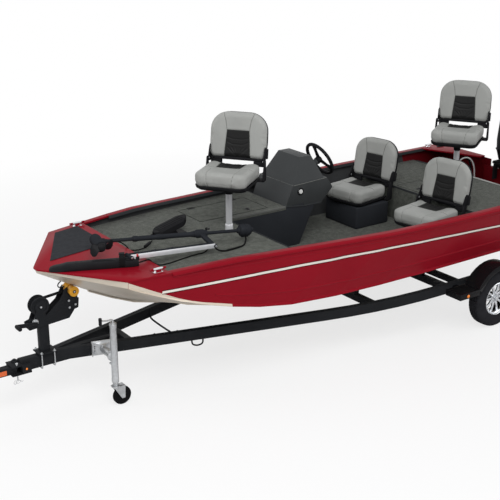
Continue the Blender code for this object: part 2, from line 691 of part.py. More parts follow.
def build_seat(name, x, y, z, yaw, drop):
    """Pan with hinge ears, cushion, and a back on two arms that folds forward."""
    place = Matrix.Translation((x, y, z)) @ Matrix.Rotation(math.radians(yaw), 4, "Z")
    plate_aft, plate_front, plate_half = PAN_PLATE
    pan = union([block(plate_aft, plate_front, -plate_half, plate_half, 0.0, PAN_THICK, 0.008, 1),
                 block(*PAN_REAR, -PAN_HALF, PAN_HALF, 0.002, PAN_THICK - 0.002, 0.006, 1)])
    ears = []
    for side in (-1, 1):
        outline = ((HINGE_X - 0.025, 0.010), (HINGE_X + 0.060, 0.010), (HINGE_X + 0.016, HINGE_Z + 0.016),
                   (HINGE_X - 0.016, HINGE_Z + 0.016))
        inner, outer = side * (PAN_HALF - EAR_THICK), side * PAN_HALF
        ears.append(plate(outline, min(inner, outer), max(inner, outer), "XZ"))
    pan = union([pan] + ears)
    pan.data.transform(place)
    name_piece(pan, "seat_pan_" + name, "black_plastic", (x, y, z))

    cushion = block(CUSHION_REAR, CUSHION_FRONT, -CUSHION_HALF, CUSHION_HALF, PAN_THICK + GAP, CUSHION_TOP, 0.032, 2)
    cushion.data.transform(place)
    name_piece(cushion, "seat_cushion_" + name, "grey_vinyl", (x, y, z), True)

    back = plate(back_outline(drop), -BACK_OFFSET - BACK_THICK, -BACK_OFFSET, "YZ")
    shape = bmesh.new()
    shape.from_mesh(back.data)
    rims = [edge for edge in shape.edges if abs(edge.verts[0].co.x - edge.verts[1].co.x) < 0.001
            and len(edge.link_faces) == 2 and edge.calc_face_angle(0) > 1.0]
    bmesh.ops.bevel(shape, geom=rims, offset=0.016, segments=2, profile=0.5, affect="EDGES")
    shape.to_mesh(back.data)
    shape.free()
    arms = []
    arm_in = PAN_HALF - EAR_THICK - PIN_GAP - ARM_THICK
    for side in (-1, 1):
        inner, outer = side * arm_in, side * (arm_in + ARM_THICK)
        outline = ((-0.055, -0.022), (0.014, -0.022), (0.014, 0.020), (-0.020, 0.120), (-0.055, 0.120))
        arms.append(plate(outline, min(inner, outer), max(inner, outer), "XZ"))
    back = union([back] + arms)
    back.data.transform(place @ Matrix.Translation((HINGE_X, 0, HINGE_Z)) @ Matrix.Rotation(-BACK_LEAN, 4, "Y"))
    hinge = place @ Vector((HINGE_X, 0, HINGE_Z))
    name_piece(back, "seat_back_" + name, "grey_vinyl", hinge, True)


def build_seats():
    """Four seats and what carries them."""
    for row in SEATS:
        build_seat(*row)
    for name, x, y, z, yaw, drop in SEATS:
        if name in ("bow", "stern"):
            deck_z = BOW_DECK_Z if name == "bow" else AFT_DECK_Z
            foot = rod((x, y, deck_z + GAP), (x, y, deck_z + 0.012), POST_RADIUS + 0.025, 24)
            post = rod((x, y, deck_z + 0.005), (x, y, z - SWIVEL_THICK + 0.002), POST_RADIUS, 20)
            head = block(x - 0.085, x + 0.085, y - 0.085, y + 0.085, z - SWIVEL_THICK, z - GAP)
            name_piece(union([foot, post, head]), "seat_post_" + name, "zinc", (x, y, deck_z))
    x0, x1, y0, y1 = SEAT_BOX
    box = block(x0, x1, y0, y1, FLOOR_Z + GAP, SEATS[1][3] - GAP, 0.012, 2)
    name_piece(box, "driver_seat_box", "dark_plastic")
    x, y, z = SEATS[2][1:4]
    foot = block(x - 0.15, x + 0.15, y - 0.15, y + 0.15, FLOOR_Z + GAP, FLOOR_Z + 0.012)
    post = rod((x, y, FLOOR_Z + 0.005), (x, y, z - 0.016), 0.050, 20)
    head = block(x - 0.11, x + 0.11, y - 0.11, y + 0.11, z - SWIVEL_THICK, z - GAP)
    name_piece(union([foot, post, head]), "passenger_seat_stand", "black_plastic")


# Outboard motor

def oval_ring(front_x, aft_x, half, z, count=16):
    """Level oval that is blunter at its front."""
    middle = (front_x + aft_x) / 2
    length = (front_x - aft_x) / 2
    ring = []
    for index in range(count):
        angle = 2 * math.pi * index / count
        c, s = math.cos(angle), math.sin(angle)
        u = math.copysign(abs(c) ** 0.65, c)
        v = math.copysign(abs(s) ** 0.65, s)
        ring.append((middle + length * u, half * v, z))
    return ring


def build_outboard():
    """Clamp bracket, tilting swivel bracket, and the motor that steers on it."""
    clamp = []
    for side in (-1, 1):
        y0, y1 = sorted((side * 0.115, side * 0.135))
        outline = ((STERN_X - GAP * 2, 0.780), (STERN_X - 0.030, 0.780), (STERN_X - 0.075, 1.060),
                   (TILT_X - 0.030, TILT_Z + 0.030), (TILT_X + 0.030, TILT_Z + 0.030), (TILT_X + 0.045, 1.080),
                   (TILT_X + 0.045, 0.960), (STERN_X + 0.0406, 0.960), (STERN_X + 0.0406, TRANSOM_Z),
                   (STERN_X - GAP * 2, TRANSOM_Z))
        clamp.append(plate(outline, y0, y1, "XZ"))
    clamp.append(block(STERN_X - 0.026, STERN_X - GAP * 2, -0.12, 0.12, 0.790, 0.850))
    clamp.append(rod((TILT_X, -0.17, TILT_Z), (TILT_X, 0.17, TILT_Z), 0.016, 16))
    name_piece(union(clamp), "outboard_clamp", "black_plastic")

    sleeve = cut(rod((TILT_X, -0.112, TILT_Z), (TILT_X, 0.112, TILT_Z), 0.032, 20),
                 [rod((TILT_X, -0.2, TILT_Z), (TILT_X, 0.2, TILT_Z), 0.016 + PIN_GAP, 16)])
    yoke = []
    for side in (-1, 1):
        y0, y1 = sorted((side * 0.040, side * 0.105))
        yoke.append(plate(((TILT_X - 0.020, TILT_Z - 0.020), (TILT_X - 0.020, TILT_Z + 0.028),
                           (STEER_X + 0.012, TILT_Z + 0.039), (STEER_X + 0.012, TILT_Z - 0.009)), y0, y1, "XZ"))
    barrel = rod((STEER_X, 0, 0.800), (STEER_X, 0, TILT_Z + 0.050), 0.038, 20)
    bridge = block(STEER_X + 0.010, STEER_X + 0.045, -0.106, 0.106, TILT_Z - 0.010, TILT_Z + 0.040)
    hollow = rod((TILT_X, -0.2, TILT_Z), (TILT_X, 0.2, TILT_Z), 0.016 + PIN_GAP, 16)
    swivel = cut(union([sleeve, bridge, barrel] + yoke), [hollow])
    name_piece(swivel, "outboard_swivel", "black_plastic", (TILT_X, 0, TILT_Z))

    base_z = TILT_Z + 0.0506
    pan = loft([oval_ring(-1.080, -1.560, 0.150, base_z), oval_ring(-1.050, -1.620, 0.175, base_z + 0.110)])
    cowl = loft([oval_ring(-1.055, -1.625, 0.172, base_z + 0.100), oval_ring(-1.050, -1.640, 0.176, base_z + 0.200),
                 oval_ring(-1.065, -1.650, 0.166, base_z + 0.390), oval_ring(-1.110, -1.630, 0.140, base_z + 0.470),
                 oval_ring(-1.200, -1.560, 0.080, base_z + 0.500)])
    arm = bar((STEER_X + 0.10, 0, base_z + 0.012), (STEER_X + 0.34, 0, base_z + 0.012), 0.045, 0.020)
    powerhead = union([pan, cowl, arm])

    leg_rings = []
    for front, aft, half, z in ((-1.335, -1.520, 0.060, base_z + 0.020), (-1.335, -1.520, 0.055, 0.780),
                                (-1.280, -1.500, 0.045, 0.770), (-1.290, -1.470, 0.030, PROP_Z + 0.030)):
        leg_rings.append(oval_ring(front, aft, half, z, 14))
    leg = loft(leg_rings)
    plate_top = plate(((-1.240, 0.040), (-1.300, 0.090), (-1.640, 0.100), (-1.640, -0.100), (-1.300, -0.090),
                       (-1.240, -0.040)), 0.585, 0.595, "XY")
    gearcase = turned(((0.0, 0.170), (0.020, 0.150), (0.042, 0.080), (0.046, 0.0), (0.044, -0.140), (0.038, -0.180),
                       (0.0, -0.180)), (-1.350, 0, PROP_Z), "X", 18)
    skeg = plate(((-1.260, PROP_Z), (-1.350, PROP_Z - 0.150), (-1.420, PROP_Z - 0.160), (-1.480, PROP_Z)),
                 -0.006, 0.006, "XZ")
    motor = union([powerhead, leg, plate_top, gearcase, skeg])
    name_piece(motor, "outboard_motor", "black_plastic", (STEER_X, 0, TILT_Z), True)

    hub = turned(((0.0, 0.055), (0.036, 0.050), (0.032, -0.045), (0.018, -0.055), (0.0, -0.055)),
                 (-1.5855, 0, PROP_Z), "X", 18)
    blades = []
    for index in range(3):
        blade = block(-0.006, 0.006, -0.045, 0.045, 0.020, PROP_RADIUS, 0.0)
        shape = bmesh.new()
        shape.from_mesh(blade.data)
        tips = [v for v in shape.verts if v.co.z > 0.1]
        bmesh.ops.scale(shape, vec=(0.4, 0.75, 1.0), verts=tips)
        shape.to_mesh(blade.data)
        shape.free()
        blade.data.transform(Matrix.Rotation(math.radians(120 * index), 4, "X") @ Matrix.Rotation(0.55, 4, "Z"))
        blade.data.transform(Matrix.Translation((-1.5855, 0, PROP_Z)))
        blades.append(blade)
    name_piece(union([hub] + blades), "outboard_propeller", "black_plastic", (-1.5855, 0, PROP_Z))


# Bow trolling motor

def build_trolling_motor():
    """Mount, arms, shaft, head and lower unit, lying stowed on the bow."""
    front, aft = Vector((*MOUNT_FRONT, cap_top(MOUNT_FRONT[0]))), Vector((*MOUNT_AFT, cap_top(MOUNT_AFT[0])))
    seat = Vector((0, 0, 0.0163))
    base = bar(front + seat, aft + seat, 0.100, 0.030)
    along = (aft - front).normalized()
    hinge = aft - along * 0.10
    start = Vector((hinge.x, hinge.y, ARM_Z)) + along * 0.03
    link = Vector(ARM_AFT)
    lean = (link - start).normalized()
    beside = Vector((0, 0, 1)).cross(lean).normalized()
    up = lean.cross(beside)
    tower = rod(start - up * 0.040, start - up * (ARM_HEIGHT / 2 + GAP), 0.032, 16)
    name_piece(union([base, tower]), "trolling_mount", "black_plastic")

    shaft_front, shaft_aft = Vector(SHAFT_FRONT), Vector(SHAFT_AFT)
    way = (shaft_aft - shaft_front).normalized()
    across = Vector((0, 0, 1)).cross(way)
    arms = []
    collar = shaft_front + way * 0.780
    for offset in (0.030, -0.020):
        arms.append(bar(start + beside * offset, link + beside * offset, 0.020, ARM_HEIGHT))
    arms.append(bar(link - across * 0.035, collar, 0.060, 0.024))
    clamp = rod(collar - way * 0.045, collar + way * 0.045, 0.040, 16)
    bore = rod(collar - way * 0.3, collar + way * 0.3, 0.013 + PIN_GAP, 16)
    name_piece(cut(union([clamp] + arms), [bore]), "trolling_arms", "black_plastic")

    shaft = rod(shaft_front - way * 0.030, shaft_aft, 0.013, 16)
    head = block(-0.055, 0.075, -0.055, 0.055, -0.050, 0.055, 0.020, 2)
    head.data.transform(Matrix.Translation(shaft_aft) @ way.to_track_quat("X", "Z").to_matrix().to_4x4())
    pod_turn = Vector((way.y, -way.x, 0))
    pod_mid = shaft_front - way * 0.048
    pod = rod(pod_mid - pod_turn * 0.110, pod_mid + pod_turn * 0.120, 0.045, 18)
    name_piece(union([shaft, head, pod]), "trolling_shaft", "black_plastic", pod_mid)
    hub_from = pod_mid + pod_turn * (0.120 + GAP)
    hub = rod(hub_from, hub_from + pod_turn * 0.045, 0.034, 16, 0.020)
    blades = []
    for sign in (-1, 1):
        blade = bar(hub_from + pod_turn * 0.02, hub_from + pod_turn * 0.02 + way * sign * TROLLING_PROP_RADIUS, 0.012, 0.050)
        blades.append(blade)
    name_piece(union([hub] + blades), "trolling_propeller", "black_plastic", hub_from)

    x, y = PEDAL
    base = block(x - 0.140, x + 0.140, y - 0.080, y + 0.080, BOW_DECK_Z + GAP, BOW_DECK_Z + 0.018)
    tread = bar((x - 0.140, y, BOW_DECK_Z + 0.070), (x + 0.140, y, BOW_DECK_Z + 0.030), 0.120, 0.016)
    lug = block(x - 0.030, x + 0.030, y - 0.060, y + 0.060, BOW_DECK_Z + 0.010, BOW_DECK_Z + 0.050)
    name_piece(union([base, tread, lug]), "foot_pedal", "black_plastic")


# Trailer

def swept(points, width, height):
    """Upright rectangular tube along level points, mitred where it turns."""
    rings = []
    for index, point in enumerate(points):
        before = Vector(points[max(index - 1, 0)])
        after = Vector(points[min(index + 1, len(points) - 1)])
        into = (Vector(point) - before).normalized() if index > 0 else (after - Vector(point)).normalized()
        along = (after - before).normalized()
        across = Vector((-along.y, along.x, 0)) * (width / 2 / max(into.dot(along), 0.5))
        up = Vector((0, 0, height / 2))
        centre = Vector(point)
        rings.append([centre - across - up, centre + across - up, centre + across + up, centre - across + up])
    return loft(rings)


def rail_line(side):
    """Centre line of one frame rail from the tongue to the stern, rounded at its bend."""
    z = RAIL_TOP_Z - RAIL_HEIGHT / 2
    nose, bend, stern = Vector((TONGUE_X, 0.005)), Vector((RAIL_BEND_X, RAIL_SIDE_Y)), Vector((RAIL_AFT_X, RAIL_SIDE_Y))
    first = bend + (nose - bend).normalized() * RAIL_BEND_REACH
    last = bend + (stern - bend).normalized() * RAIL_BEND_REACH
    points = [nose]
    for step in range(RAIL_BEND_STEPS + 1):
        t = step / RAIL_BEND_STEPS
        points.append((1 - t) ** 2 * first + 2 * t * (1 - t) * bend + t ** 2 * last)
    points.append(stern)
    return [(x, side * y, z) for x, y in points]


def rail_y_at(x):
    """Half-breadth of the rails' centre line at a station."""
    line = rail_line(1)
    for near, far in zip(line, line[1:]):
        if far[0] <= x <= near[0]:
            return far[1] + (near[1] - far[1]) * (x - far[0]) / (near[0] - far[0])
    return RAIL_SIDE_Y


def build_frame():
    """Frame: two bent rails, cross beams, tongue and hinge plates."""
    pieces = []
    for side in (1, -1):
        pieces.append(swept(rail_line(side), RAIL_TUBE, RAIL_HEIGHT))
    beam_z = RAIL_TOP_Z - RAIL_HEIGHT / 2 + 0.003
    for x in CROSS_X:
        pieces.append(bar((x, -rail_y_at(x), beam_z), (x, rail_y_at(x), beam_z), 0.050, 0.060))
    brace_x = 3.330
    brace_y = rail_y_at(brace_x)
    pieces.append(bar((brace_x, -brace_y, beam_z), (brace_x, brace_y, beam_z), 0.050, 0.058))
    pieces.append(bar((brace_x - 0.01, 0, beam_z), (TONGUE_X + 0.05, 0, beam_z), 0.050, 0.056))
    tongue_low = TONGUE_Z - TONGUE_TUBE / 2
    pieces.append(block(3.760, HINGE_PIN[0] - 0.022, -0.030, 0.030, tongue_low, RAIL_TOP_Z - 0.012))
    for z0, z1 in ((TONGUE_Z + TONGUE_TUBE / 2 + PIN_GAP, TONGUE_Z + TONGUE_TUBE / 2 + 0.008),
                   (TONGUE_Z - TONGUE_TUBE / 2 - 0.008, TONGUE_Z - TONGUE_TUBE / 2 - PIN_GAP)):
        pieces.append(block(4.120, 4.275, -0.070, 0.060, z0, z1))
    pieces.append(block(4.120, HINGE_PIN[0] - 0.023, -0.069, 0.059, TONGUE_Z - 0.0375, TONGUE_Z + 0.0375))
    for side in (1, -1):
        pieces.append(block(RAIL_AFT_X - 0.035, RAIL_AFT_X + 0.010, side * RAIL_SIDE_Y - 0.070,
                            side * RAIL_SIDE_Y + 0.070, RAIL_TOP_Z - 0.080, RAIL_TOP_Z - 0.008, 0.006, 1))
    name_piece(union(pieces), "trailer_frame", "black_steel")


def build_tongue():
    """Swing-away tongue front with its coupler."""
    low, high = TONGUE_Z - TONGUE_TUBE / 2, TONGUE_Z + TONGUE_TUBE / 2
    pin_x = HINGE_PIN[0]
    front = block(pin_x + 0.010, 4.780, -0.030, 0.030, low, high)
    barrel = rod((pin_x, HINGE_PIN[1], low), (pin_x, HINGE_PIN[1], high), 0.019, 16)
    lug = block(pin_x + 0.002, pin_x + 0.060, -0.056, -0.020, low, high)
    sleeve = loft([[(4.700, -0.040, low - 0.004), (4.700, 0.040, low - 0.004), (4.700, 0.040, high + 0.012),
                    (4.700, -0.040, high + 0.012)],
                   [(4.830, -0.036, low - 0.004), (4.830, 0.036, low - 0.004), (4.830, 0.036, high + 0.010),
                    (4.830, -0.036, high + 0.010)]])
    dome = turned(((0.0, 0.046), (0.020, 0.044), (0.040, 0.030), (0.050, 0.0), (0.050, -0.034), (0.0, -0.034)),
                  (COUPLER_TIP_X - 0.050, 0, TONGUE_Z), "Z", 20)
    neck = block(4.800, COUPLER_TIP_X - 0.050, -0.036, 0.036, low - 0.004, high - 0.002)
    socket = turned(((0.0, 0.026), (0.018, 0.020), (0.028, 0.0), (0.028, -0.060), (0.0, -0.060)),
                    (COUPLER_TIP_X - 0.052, 0, TONGUE_Z - 0.010), "Z", 16)
    latch = block(4.745, 4.800, -0.008, 0.008, high, high + 0.040)
    tongue = cut(union([front, barrel, lug, sleeve, neck, dome, latch]), [socket])
    name_piece(tongue, "tongue_front", "black_steel", (HINGE_PIN[0], HINGE_PIN[1], TONGUE_Z))


def build_winch():
    """Winch stand, winch, strap and the bow roller it carries."""
    base = block(3.900, 4.050, -0.062, 0.062, RAIL_TOP_Z + GAP, RAIL_TOP_Z + 0.010)
    post = block(3.945, 4.020, -0.028, 0.028, RAIL_TOP_Z + 0.005, 0.700)
    outline = ((4.105, 0.665), (4.115, 0.715), (3.960, 0.758), (3.850, 0.845), (3.800, 0.925), (3.740, 0.930),
               (3.690, 0.885), (3.733, 0.745), (3.776, 0.689))
    sides = [plate(outline, side * 0.035 - 0.003, side * 0.035 + 0.003, "XZ") for side in (-1, 1)]
    web = plate(((4.105, 0.665), (4.109, 0.675), (3.780, 0.700), (3.776, 0.689)), -0.034, 0.034, "XZ")
    stop = block(3.755, 3.775, -0.034, 0.034, 0.740, 0.800)
    roller_at = (ROLLER[0], 0, ROLLER[1])
    clearance = rod((ROLLER[0], -0.080, ROLLER[1]), (ROLLER[0], 0.080, ROLLER[1]), ROLLER_RADIUS + 0.003, 20)
    arms = cut(union(sides + [web, stop]), [clearance])
    hanger = plate(((3.690, 0.870), (3.733, 0.745), (3.780, 0.745), (3.800, 0.900), (3.765, 0.926), (3.715, 0.922)),
                   -0.0045, 0.0045, "XZ")
    hanger = cut(hanger, [rod((ROLLER[0], -0.02, ROLLER[1]), (ROLLER[0], 0.02, ROLLER[1]),
                              ROLLER_CORE + PIN_GAP, 18)])
    reel_x, reel_z = REEL
    cheek = ((4.085, 0.700), (4.060, 0.760), (reel_x + 0.015, reel_z + 0.018), (reel_x - 0.015, reel_z + 0.018),
             (3.960, 0.740), (3.960, 0.700))
    cheeks = [plate(cheek, side * 0.037 - 0.003, side * 0.037 + 0.003, "XZ") for side in (-1, 1)]
    drum = rod((reel_x, -0.040, reel_z), (reel_x, 0.040, reel_z), DRUM_RADIUS, 14)
    discs = [rod((reel_x, y - 0.002, reel_z), (reel_x, y + 0.002, reel_z), 0.075, 18) for y in (-0.028, 0.028)]
    handle = [rod((4.060, 0, 0.725), (4.060, 0.085, 0.725), 0.009, 10),
              bar((4.055, 0.080, 0.725), (4.230, 0.080, 0.745), 0.008, 0.026),
              rod((4.222, 0.078, 0.744), (4.222, 0.150, 0.744), 0.014, 12)]
    name_piece(union([arms, hanger, base, post] + cheeks + [drum] + discs + handle), "winch_stand", "black_steel")

    roller = turned(((0.0, 0.065), (ROLLER_RADIUS, 0.065), (ROLLER_RADIUS, 0.050), (ROLLER_WAIST, 0.0055),
                     (ROLLER_CORE, 0.0055), (ROLLER_CORE, -0.0055), (ROLLER_WAIST, -0.0055),
                     (ROLLER_RADIUS, -0.050), (ROLLER_RADIUS, -0.065), (0.0, -0.065)), roller_at, "Y", 18)
    name_piece(roller, "bow_roller", "yellow_rubber", roller_at, True)

    top = Vector((reel_x, 0, reel_z + DRUM_RADIUS + GAP + 0.0015))
    strap = bar(top, STRAP_END, 0.046, 0.0022)
    shackle = block(STRAP_END[0] - 0.004, STRAP_END[0] + 0.026, -0.012, 0.012, STRAP_END[2] - 0.007,
                    STRAP_END[2] + 0.005)
    name_piece(union([strap, shackle]), "winch_strap", "strap")


def build_axle():
    """Axle beam, spindles, leaf springs and hangers."""
    half = RAIL_SIDE_Y + 0.020
    spring_z = TYRE_RADIUS + 0.023
    pieces = [block(-0.025, 0.025, -half, half, TYRE_RADIUS - 0.025, TYRE_RADIUS + 0.025)]
    for side in (-1, 1):
        y0, y1 = sorted((side * (RAIL_SIDE_Y - 0.022), side * (RAIL_SIDE_Y + 0.022)))
        inner, outer = side * RAIL_SIDE_Y, side * (TRACK_HALF - 0.0556)
        pieces.append(rod((0, inner, TYRE_RADIUS), (0, outer, TYRE_RADIUS), 0.018, 14))
        rail_low = RAIL_TOP_Z - RAIL_HEIGHT - GAP
        leaf = [(x, spring_z + rise) for x, rise in LEAF_OUTLINE]
        pieces.append(plate(leaf, y0, y1, "XZ"))
        eye = LEAF_OUTLINE[4][0]
        for x in (-eye, eye):
            pieces.append(block(x - 0.020, x + 0.020, y0, y1, spring_z + 0.028, rail_low))
    name_piece(union(pieces), "axle_and_springs", "black_steel")


def build_wheels():
    """Tyres and spoked rims."""
    half = TYRE_WIDTH / 2
    for side, tag in ((1, "port"), (-1, "starboard")):
        centre = (0, side * TRACK_HALF, TYRE_RADIUS)
        tyre = turned(((RIM_RADIUS + 0.0003, half - 0.010), (RIM_RADIUS + 0.018, half - 0.004),
                       (RIM_RADIUS + 0.060, half), (TYRE_RADIUS - 0.022, half - 0.010), (TYRE_RADIUS, half - 0.030),
                       (TYRE_RADIUS, 0.030 - half), (TYRE_RADIUS - 0.022, 0.010 - half),
                       (RIM_RADIUS + 0.060, -half), (RIM_RADIUS + 0.018, 0.004 - half),
                       (RIM_RADIUS + 0.0003, 0.010 - half)), centre, "Y", 36)
        name_piece(tyre, "tyre_" + tag, "rubber", centre, True)
        barrel = turned(((RIM_RADIUS - 0.010, half - 0.012), (RIM_RADIUS, half - 0.012), (RIM_RADIUS, 0.012 - half),
                         (RIM_RADIUS - 0.010, 0.012 - half)), centre, "Y", 36)
        face_y = side * (TRACK_HALF + 0.012)
        disc = rod((0, face_y - 0.007, TYRE_RADIUS), (0, face_y + 0.007, TYRE_RADIUS), RIM_RADIUS - 0.004, 28)
        windows = []
        for index in range(5):
            angle = math.radians(72 * index + 90)
            x, z = 0.098 * math.cos(angle), TYRE_RADIUS + 0.098 * math.sin(angle)
            windows.append(rod((x, face_y - 0.03, z), (x, face_y + 0.03, z), 0.034, 10))
        disc = cut(disc, windows)
        hub = rod((0, side * (TRACK_HALF - 0.055), TYRE_RADIUS), (0, side * (TRACK_HALF + 0.050), TYRE_RADIUS), 0.040, 16)
        name_piece(union([barrel, disc, hub]), "rim_" + tag, "chrome", centre, True)


def fender_ring(angle, side):
    """Section of the fender's roof and outer lip at an angle about the wheel."""
    inner_y, outer_y = FENDER_Y
    section = ((FENDER_RADIUS, inner_y), (FENDER_RADIUS, outer_y), (FENDER_RADIUS - FENDER_LIP, outer_y),
               (FENDER_RADIUS - FENDER_LIP, outer_y - FENDER_THICK), (FENDER_RADIUS - FENDER_THICK,
               outer_y - FENDER_THICK), (FENDER_RADIUS - FENDER_THICK, inner_y))
    turn = math.radians(angle)
    return [(radius * math.cos(turn), side * y, TYRE_RADIUS + radius * math.sin(turn)) for radius, y in section]


def build_fenders():
    """Round fenders with a step plate at each end."""
    inner_y, outer_y = FENDER_Y
    steps = 12
    for side, tag in ((1, "port"), (-1, "starboard")):
        angles = [FENDER_START + (180 - 2 * FENDER_START) * i / steps for i in range(steps + 1)]
        pieces = [loft([fender_ring(angle, side) for angle in angles])]
        low, high = sorted((side * inner_y, side * outer_y))
        step_z = TYRE_RADIUS + FENDER_RADIUS * math.sin(math.radians(FENDER_START))
        reach = FENDER_RADIUS * math.cos(math.radians(FENDER_START))
        for end in (-1, 1):
            x0, x1 = sorted((end * (reach - 0.012), end * (reach + 0.235)))
            pieces.append(block(x0, x1, low - 0.001, high + 0.001, step_z - 0.002, step_z + 0.010))
            b0, b1 = sorted((side * (RAIL_SIDE_Y + RAIL_TUBE / 2 + GAP), side * (inner_y + 0.030)))
            m0, m1 = sorted((end * (reach + 0.060), end * (reach + 0.110)))
            pieces.append(block(m0, m1, b0, b1, step_z - 0.012, step_z + 0.004))
            lip0, lip1 = sorted((side * (outer_y + 0.0005), side * (outer_y - 0.006)))
            pieces.append(block(x0 + 0.001, x1 - 0.001, lip0, lip1, step_z - FENDER_LIP, step_z + 0.008))
            f0, f1 = sorted((end * (reach + 0.229), end * (reach + 0.2345)))
            pieces.append(block(f0, f1, low, high, step_z - FENDER_LIP + 0.001, step_z + 0.007))
        name_piece(union(pieces), "fender_" + tag, "black_plastic")


def build_bunks():
    """Carpeted bunk boards on brackets that stand on the cross beams."""
    aft, front = BUNK_SPAN
    for side, tag in ((1, "port"), (-1, "starboard")):
        rings = []
        for x in [aft] + [x for x in HULL_STATIONS if aft < x < front] + [front]:
            keel_z, chine_y, chine_z = plated_at(x)
            rise = (chine_z - keel_z) / chine_y
            y0, y1 = BUNK_Y - BUNK_WIDTH / 2, BUNK_Y + BUNK_WIDTH / 2
            top0, top1 = keel_z + rise * y0 - BUNK_GAP, keel_z + rise * y1 - BUNK_GAP
            rings.append([(x, side * y0, top0), (x, side * y1, top1), (x, side * y1, top1 - BUNK_THICK),
                          (x, side * y0, top0 - BUNK_THICK)])
        pieces = [loft(rings)]
        for x in CROSS_X:
            pieces.append(block(x - 0.030, x + 0.030, side * BUNK_Y - 0.020, side * BUNK_Y + 0.020,
                                RAIL_TOP_Z - RAIL_HEIGHT / 2 + 0.0333, 0.575))
        name_piece(union(pieces), "bunk_" + tag, "wood_carpet")


def build_jack():
    """Swing-up jack: bracket, outer tube, sliding leg, caster fork and wheel."""
    slope = (RAIL_SIDE_Y - 0.005) / (TONGUE_X - RAIL_BEND_X)
    angle = math.atan(slope)
    rail_y = 0.005 + slope * (TONGUE_X - JACK_X) + RAIL_TUBE / 2 / math.cos(angle)
    z = JACK_PIVOT_Z
    foot = block(JACK_X - 0.090, JACK_X + 0.090, rail_y + GAP * 3, rail_y + 0.012, z - 0.045, z + 0.075)
    foot = turn_mesh(foot, -angle, "Z", (JACK_X, rail_y, z))
    hub_end = JACK_Y - JACK_TUBE_RADIUS - 0.012
    hub = rod((JACK_X, rail_y + 0.0105, z), (JACK_X, hub_end - PIN_GAP, z), 0.030, 20)
    name_piece(union([foot, hub]), "jack_bracket", "zinc", (JACK_X, JACK_Y, z))

    top_z, low_z = JACK_TOP_Z, 0.200
    outer = rod((JACK_X, JACK_Y, low_z), (JACK_X, JACK_Y, top_z), JACK_TUBE_RADIUS, 20)
    disc = rod((JACK_X, hub_end, z), (JACK_X, JACK_Y, z), 0.042, 20)
    bore = rod((JACK_X, JACK_Y, low_z - 0.1), (JACK_X, JACK_Y, z + 0.230), 0.022, 20)
    outer = cut(union([outer, disc]), [bore])
    crank = [rod((JACK_X, JACK_Y, top_z - 0.01), (JACK_X, JACK_Y, top_z + 0.030), 0.009, 10),
             rod((JACK_X, JACK_Y, top_z + 0.022), (JACK_X + 0.110, JACK_Y, top_z + 0.022), 0.007, 10),
             rod((JACK_X + 0.104, JACK_Y, top_z - 0.010), (JACK_X + 0.104, JACK_Y, top_z + 0.070), 0.012, 12)]
    name_piece(union([outer] + crank), "jack_tube", "zinc", (JACK_X, JACK_Y, z))

    wheel_z = CASTER_RADIUS
    leg_low = 2 * CASTER_RADIUS + 0.020
    leg = rod((JACK_X, JACK_Y, leg_low), (JACK_X, JACK_Y, 0.460), 0.0212, 20)
    name_piece(leg, "jack_leg", "zinc", (JACK_X, JACK_Y, leg_low))
    crown = rod((JACK_X, JACK_Y, leg_low - 0.012), (JACK_X, JACK_Y, leg_low - GAP), 0.034, 20)
    wheel_x = JACK_X - CASTER_TRAIL
    top = block(wheel_x - 0.020, JACK_X + 0.028, JACK_Y - 0.030, JACK_Y + 0.030, leg_low - 0.012, leg_low - 0.006)
    cheeks = []
    for side in (-1, 1):
        y0, y1 = sorted((JACK_Y + side * 0.026, JACK_Y + side * 0.031))
        outline = ((JACK_X + 0.026, leg_low - 0.008), (wheel_x - 0.018, leg_low - 0.008),
                   (wheel_x - 0.014, wheel_z - 0.014), (wheel_x + 0.014, wheel_z - 0.014))
        cheeks.append(plate(outline, y0, y1, "XZ"))
    pin = rod((wheel_x, JACK_Y - 0.034, wheel_z), (wheel_x, JACK_Y + 0.034, wheel_z), 0.006, 10)
    name_piece(union([crown, top] + cheeks + [pin]), "jack_fork", "zinc", (JACK_X, JACK_Y, leg_low))
    wheel = turned(((0.0066, 0.020), (0.060, 0.020), (CASTER_RADIUS, 0.012), (CASTER_RADIUS, -0.012), (0.060, -0.020),
                    (0.0066, -0.020)), (wheel_x, JACK_Y, wheel_z), "Y", 24)
    name_piece(wheel, "jack_wheel", "rubber", (wheel_x, JACK_Y, wheel_z), True)


def build_all():
    """Build every piece."""
    build_hull()
    build_rails()
    build_bow_cap()
    build_floor()
    build_bow_deck()
    build_aft_deck()
    build_lids()
    build_splash_well()
    build_console()
    build_helm()
    build_seats()
    build_outboard()
    build_trolling_motor()
    build_frame()
    build_tongue()
    build_winch()
    build_axle()
    build_wheels()
    build_fenders()
    build_bunks()
    build_jack()


clear_scene()
PARTS = bpy.data.collections.new("fishing_boat_on_trailer")
bpy.context.scene.collection.children.link(PARTS)
ROOT = bpy.data.objects.new("boat_and_trailer", None)
PARTS.objects.link(ROOT)
ROOT.location = (AXLE_X, 0, 0)
build_all()
bpy.context.view_layer.update()
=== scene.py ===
"""Aluminum fishing boat on its bunk trailer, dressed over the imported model.

Places are given in metres from the middle of the trailer's axle, +X to the bow, +Y to port,
+Z up, and put_in_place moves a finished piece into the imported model's frame.
"""

import json
import math

import bmesh
import bpy
from bpy.props import FloatProperty, FloatVectorProperty, IntProperty, PointerProperty
from bpy.types import Operator, Panel, PropertyGroup
from mathutils import Matrix, Vector

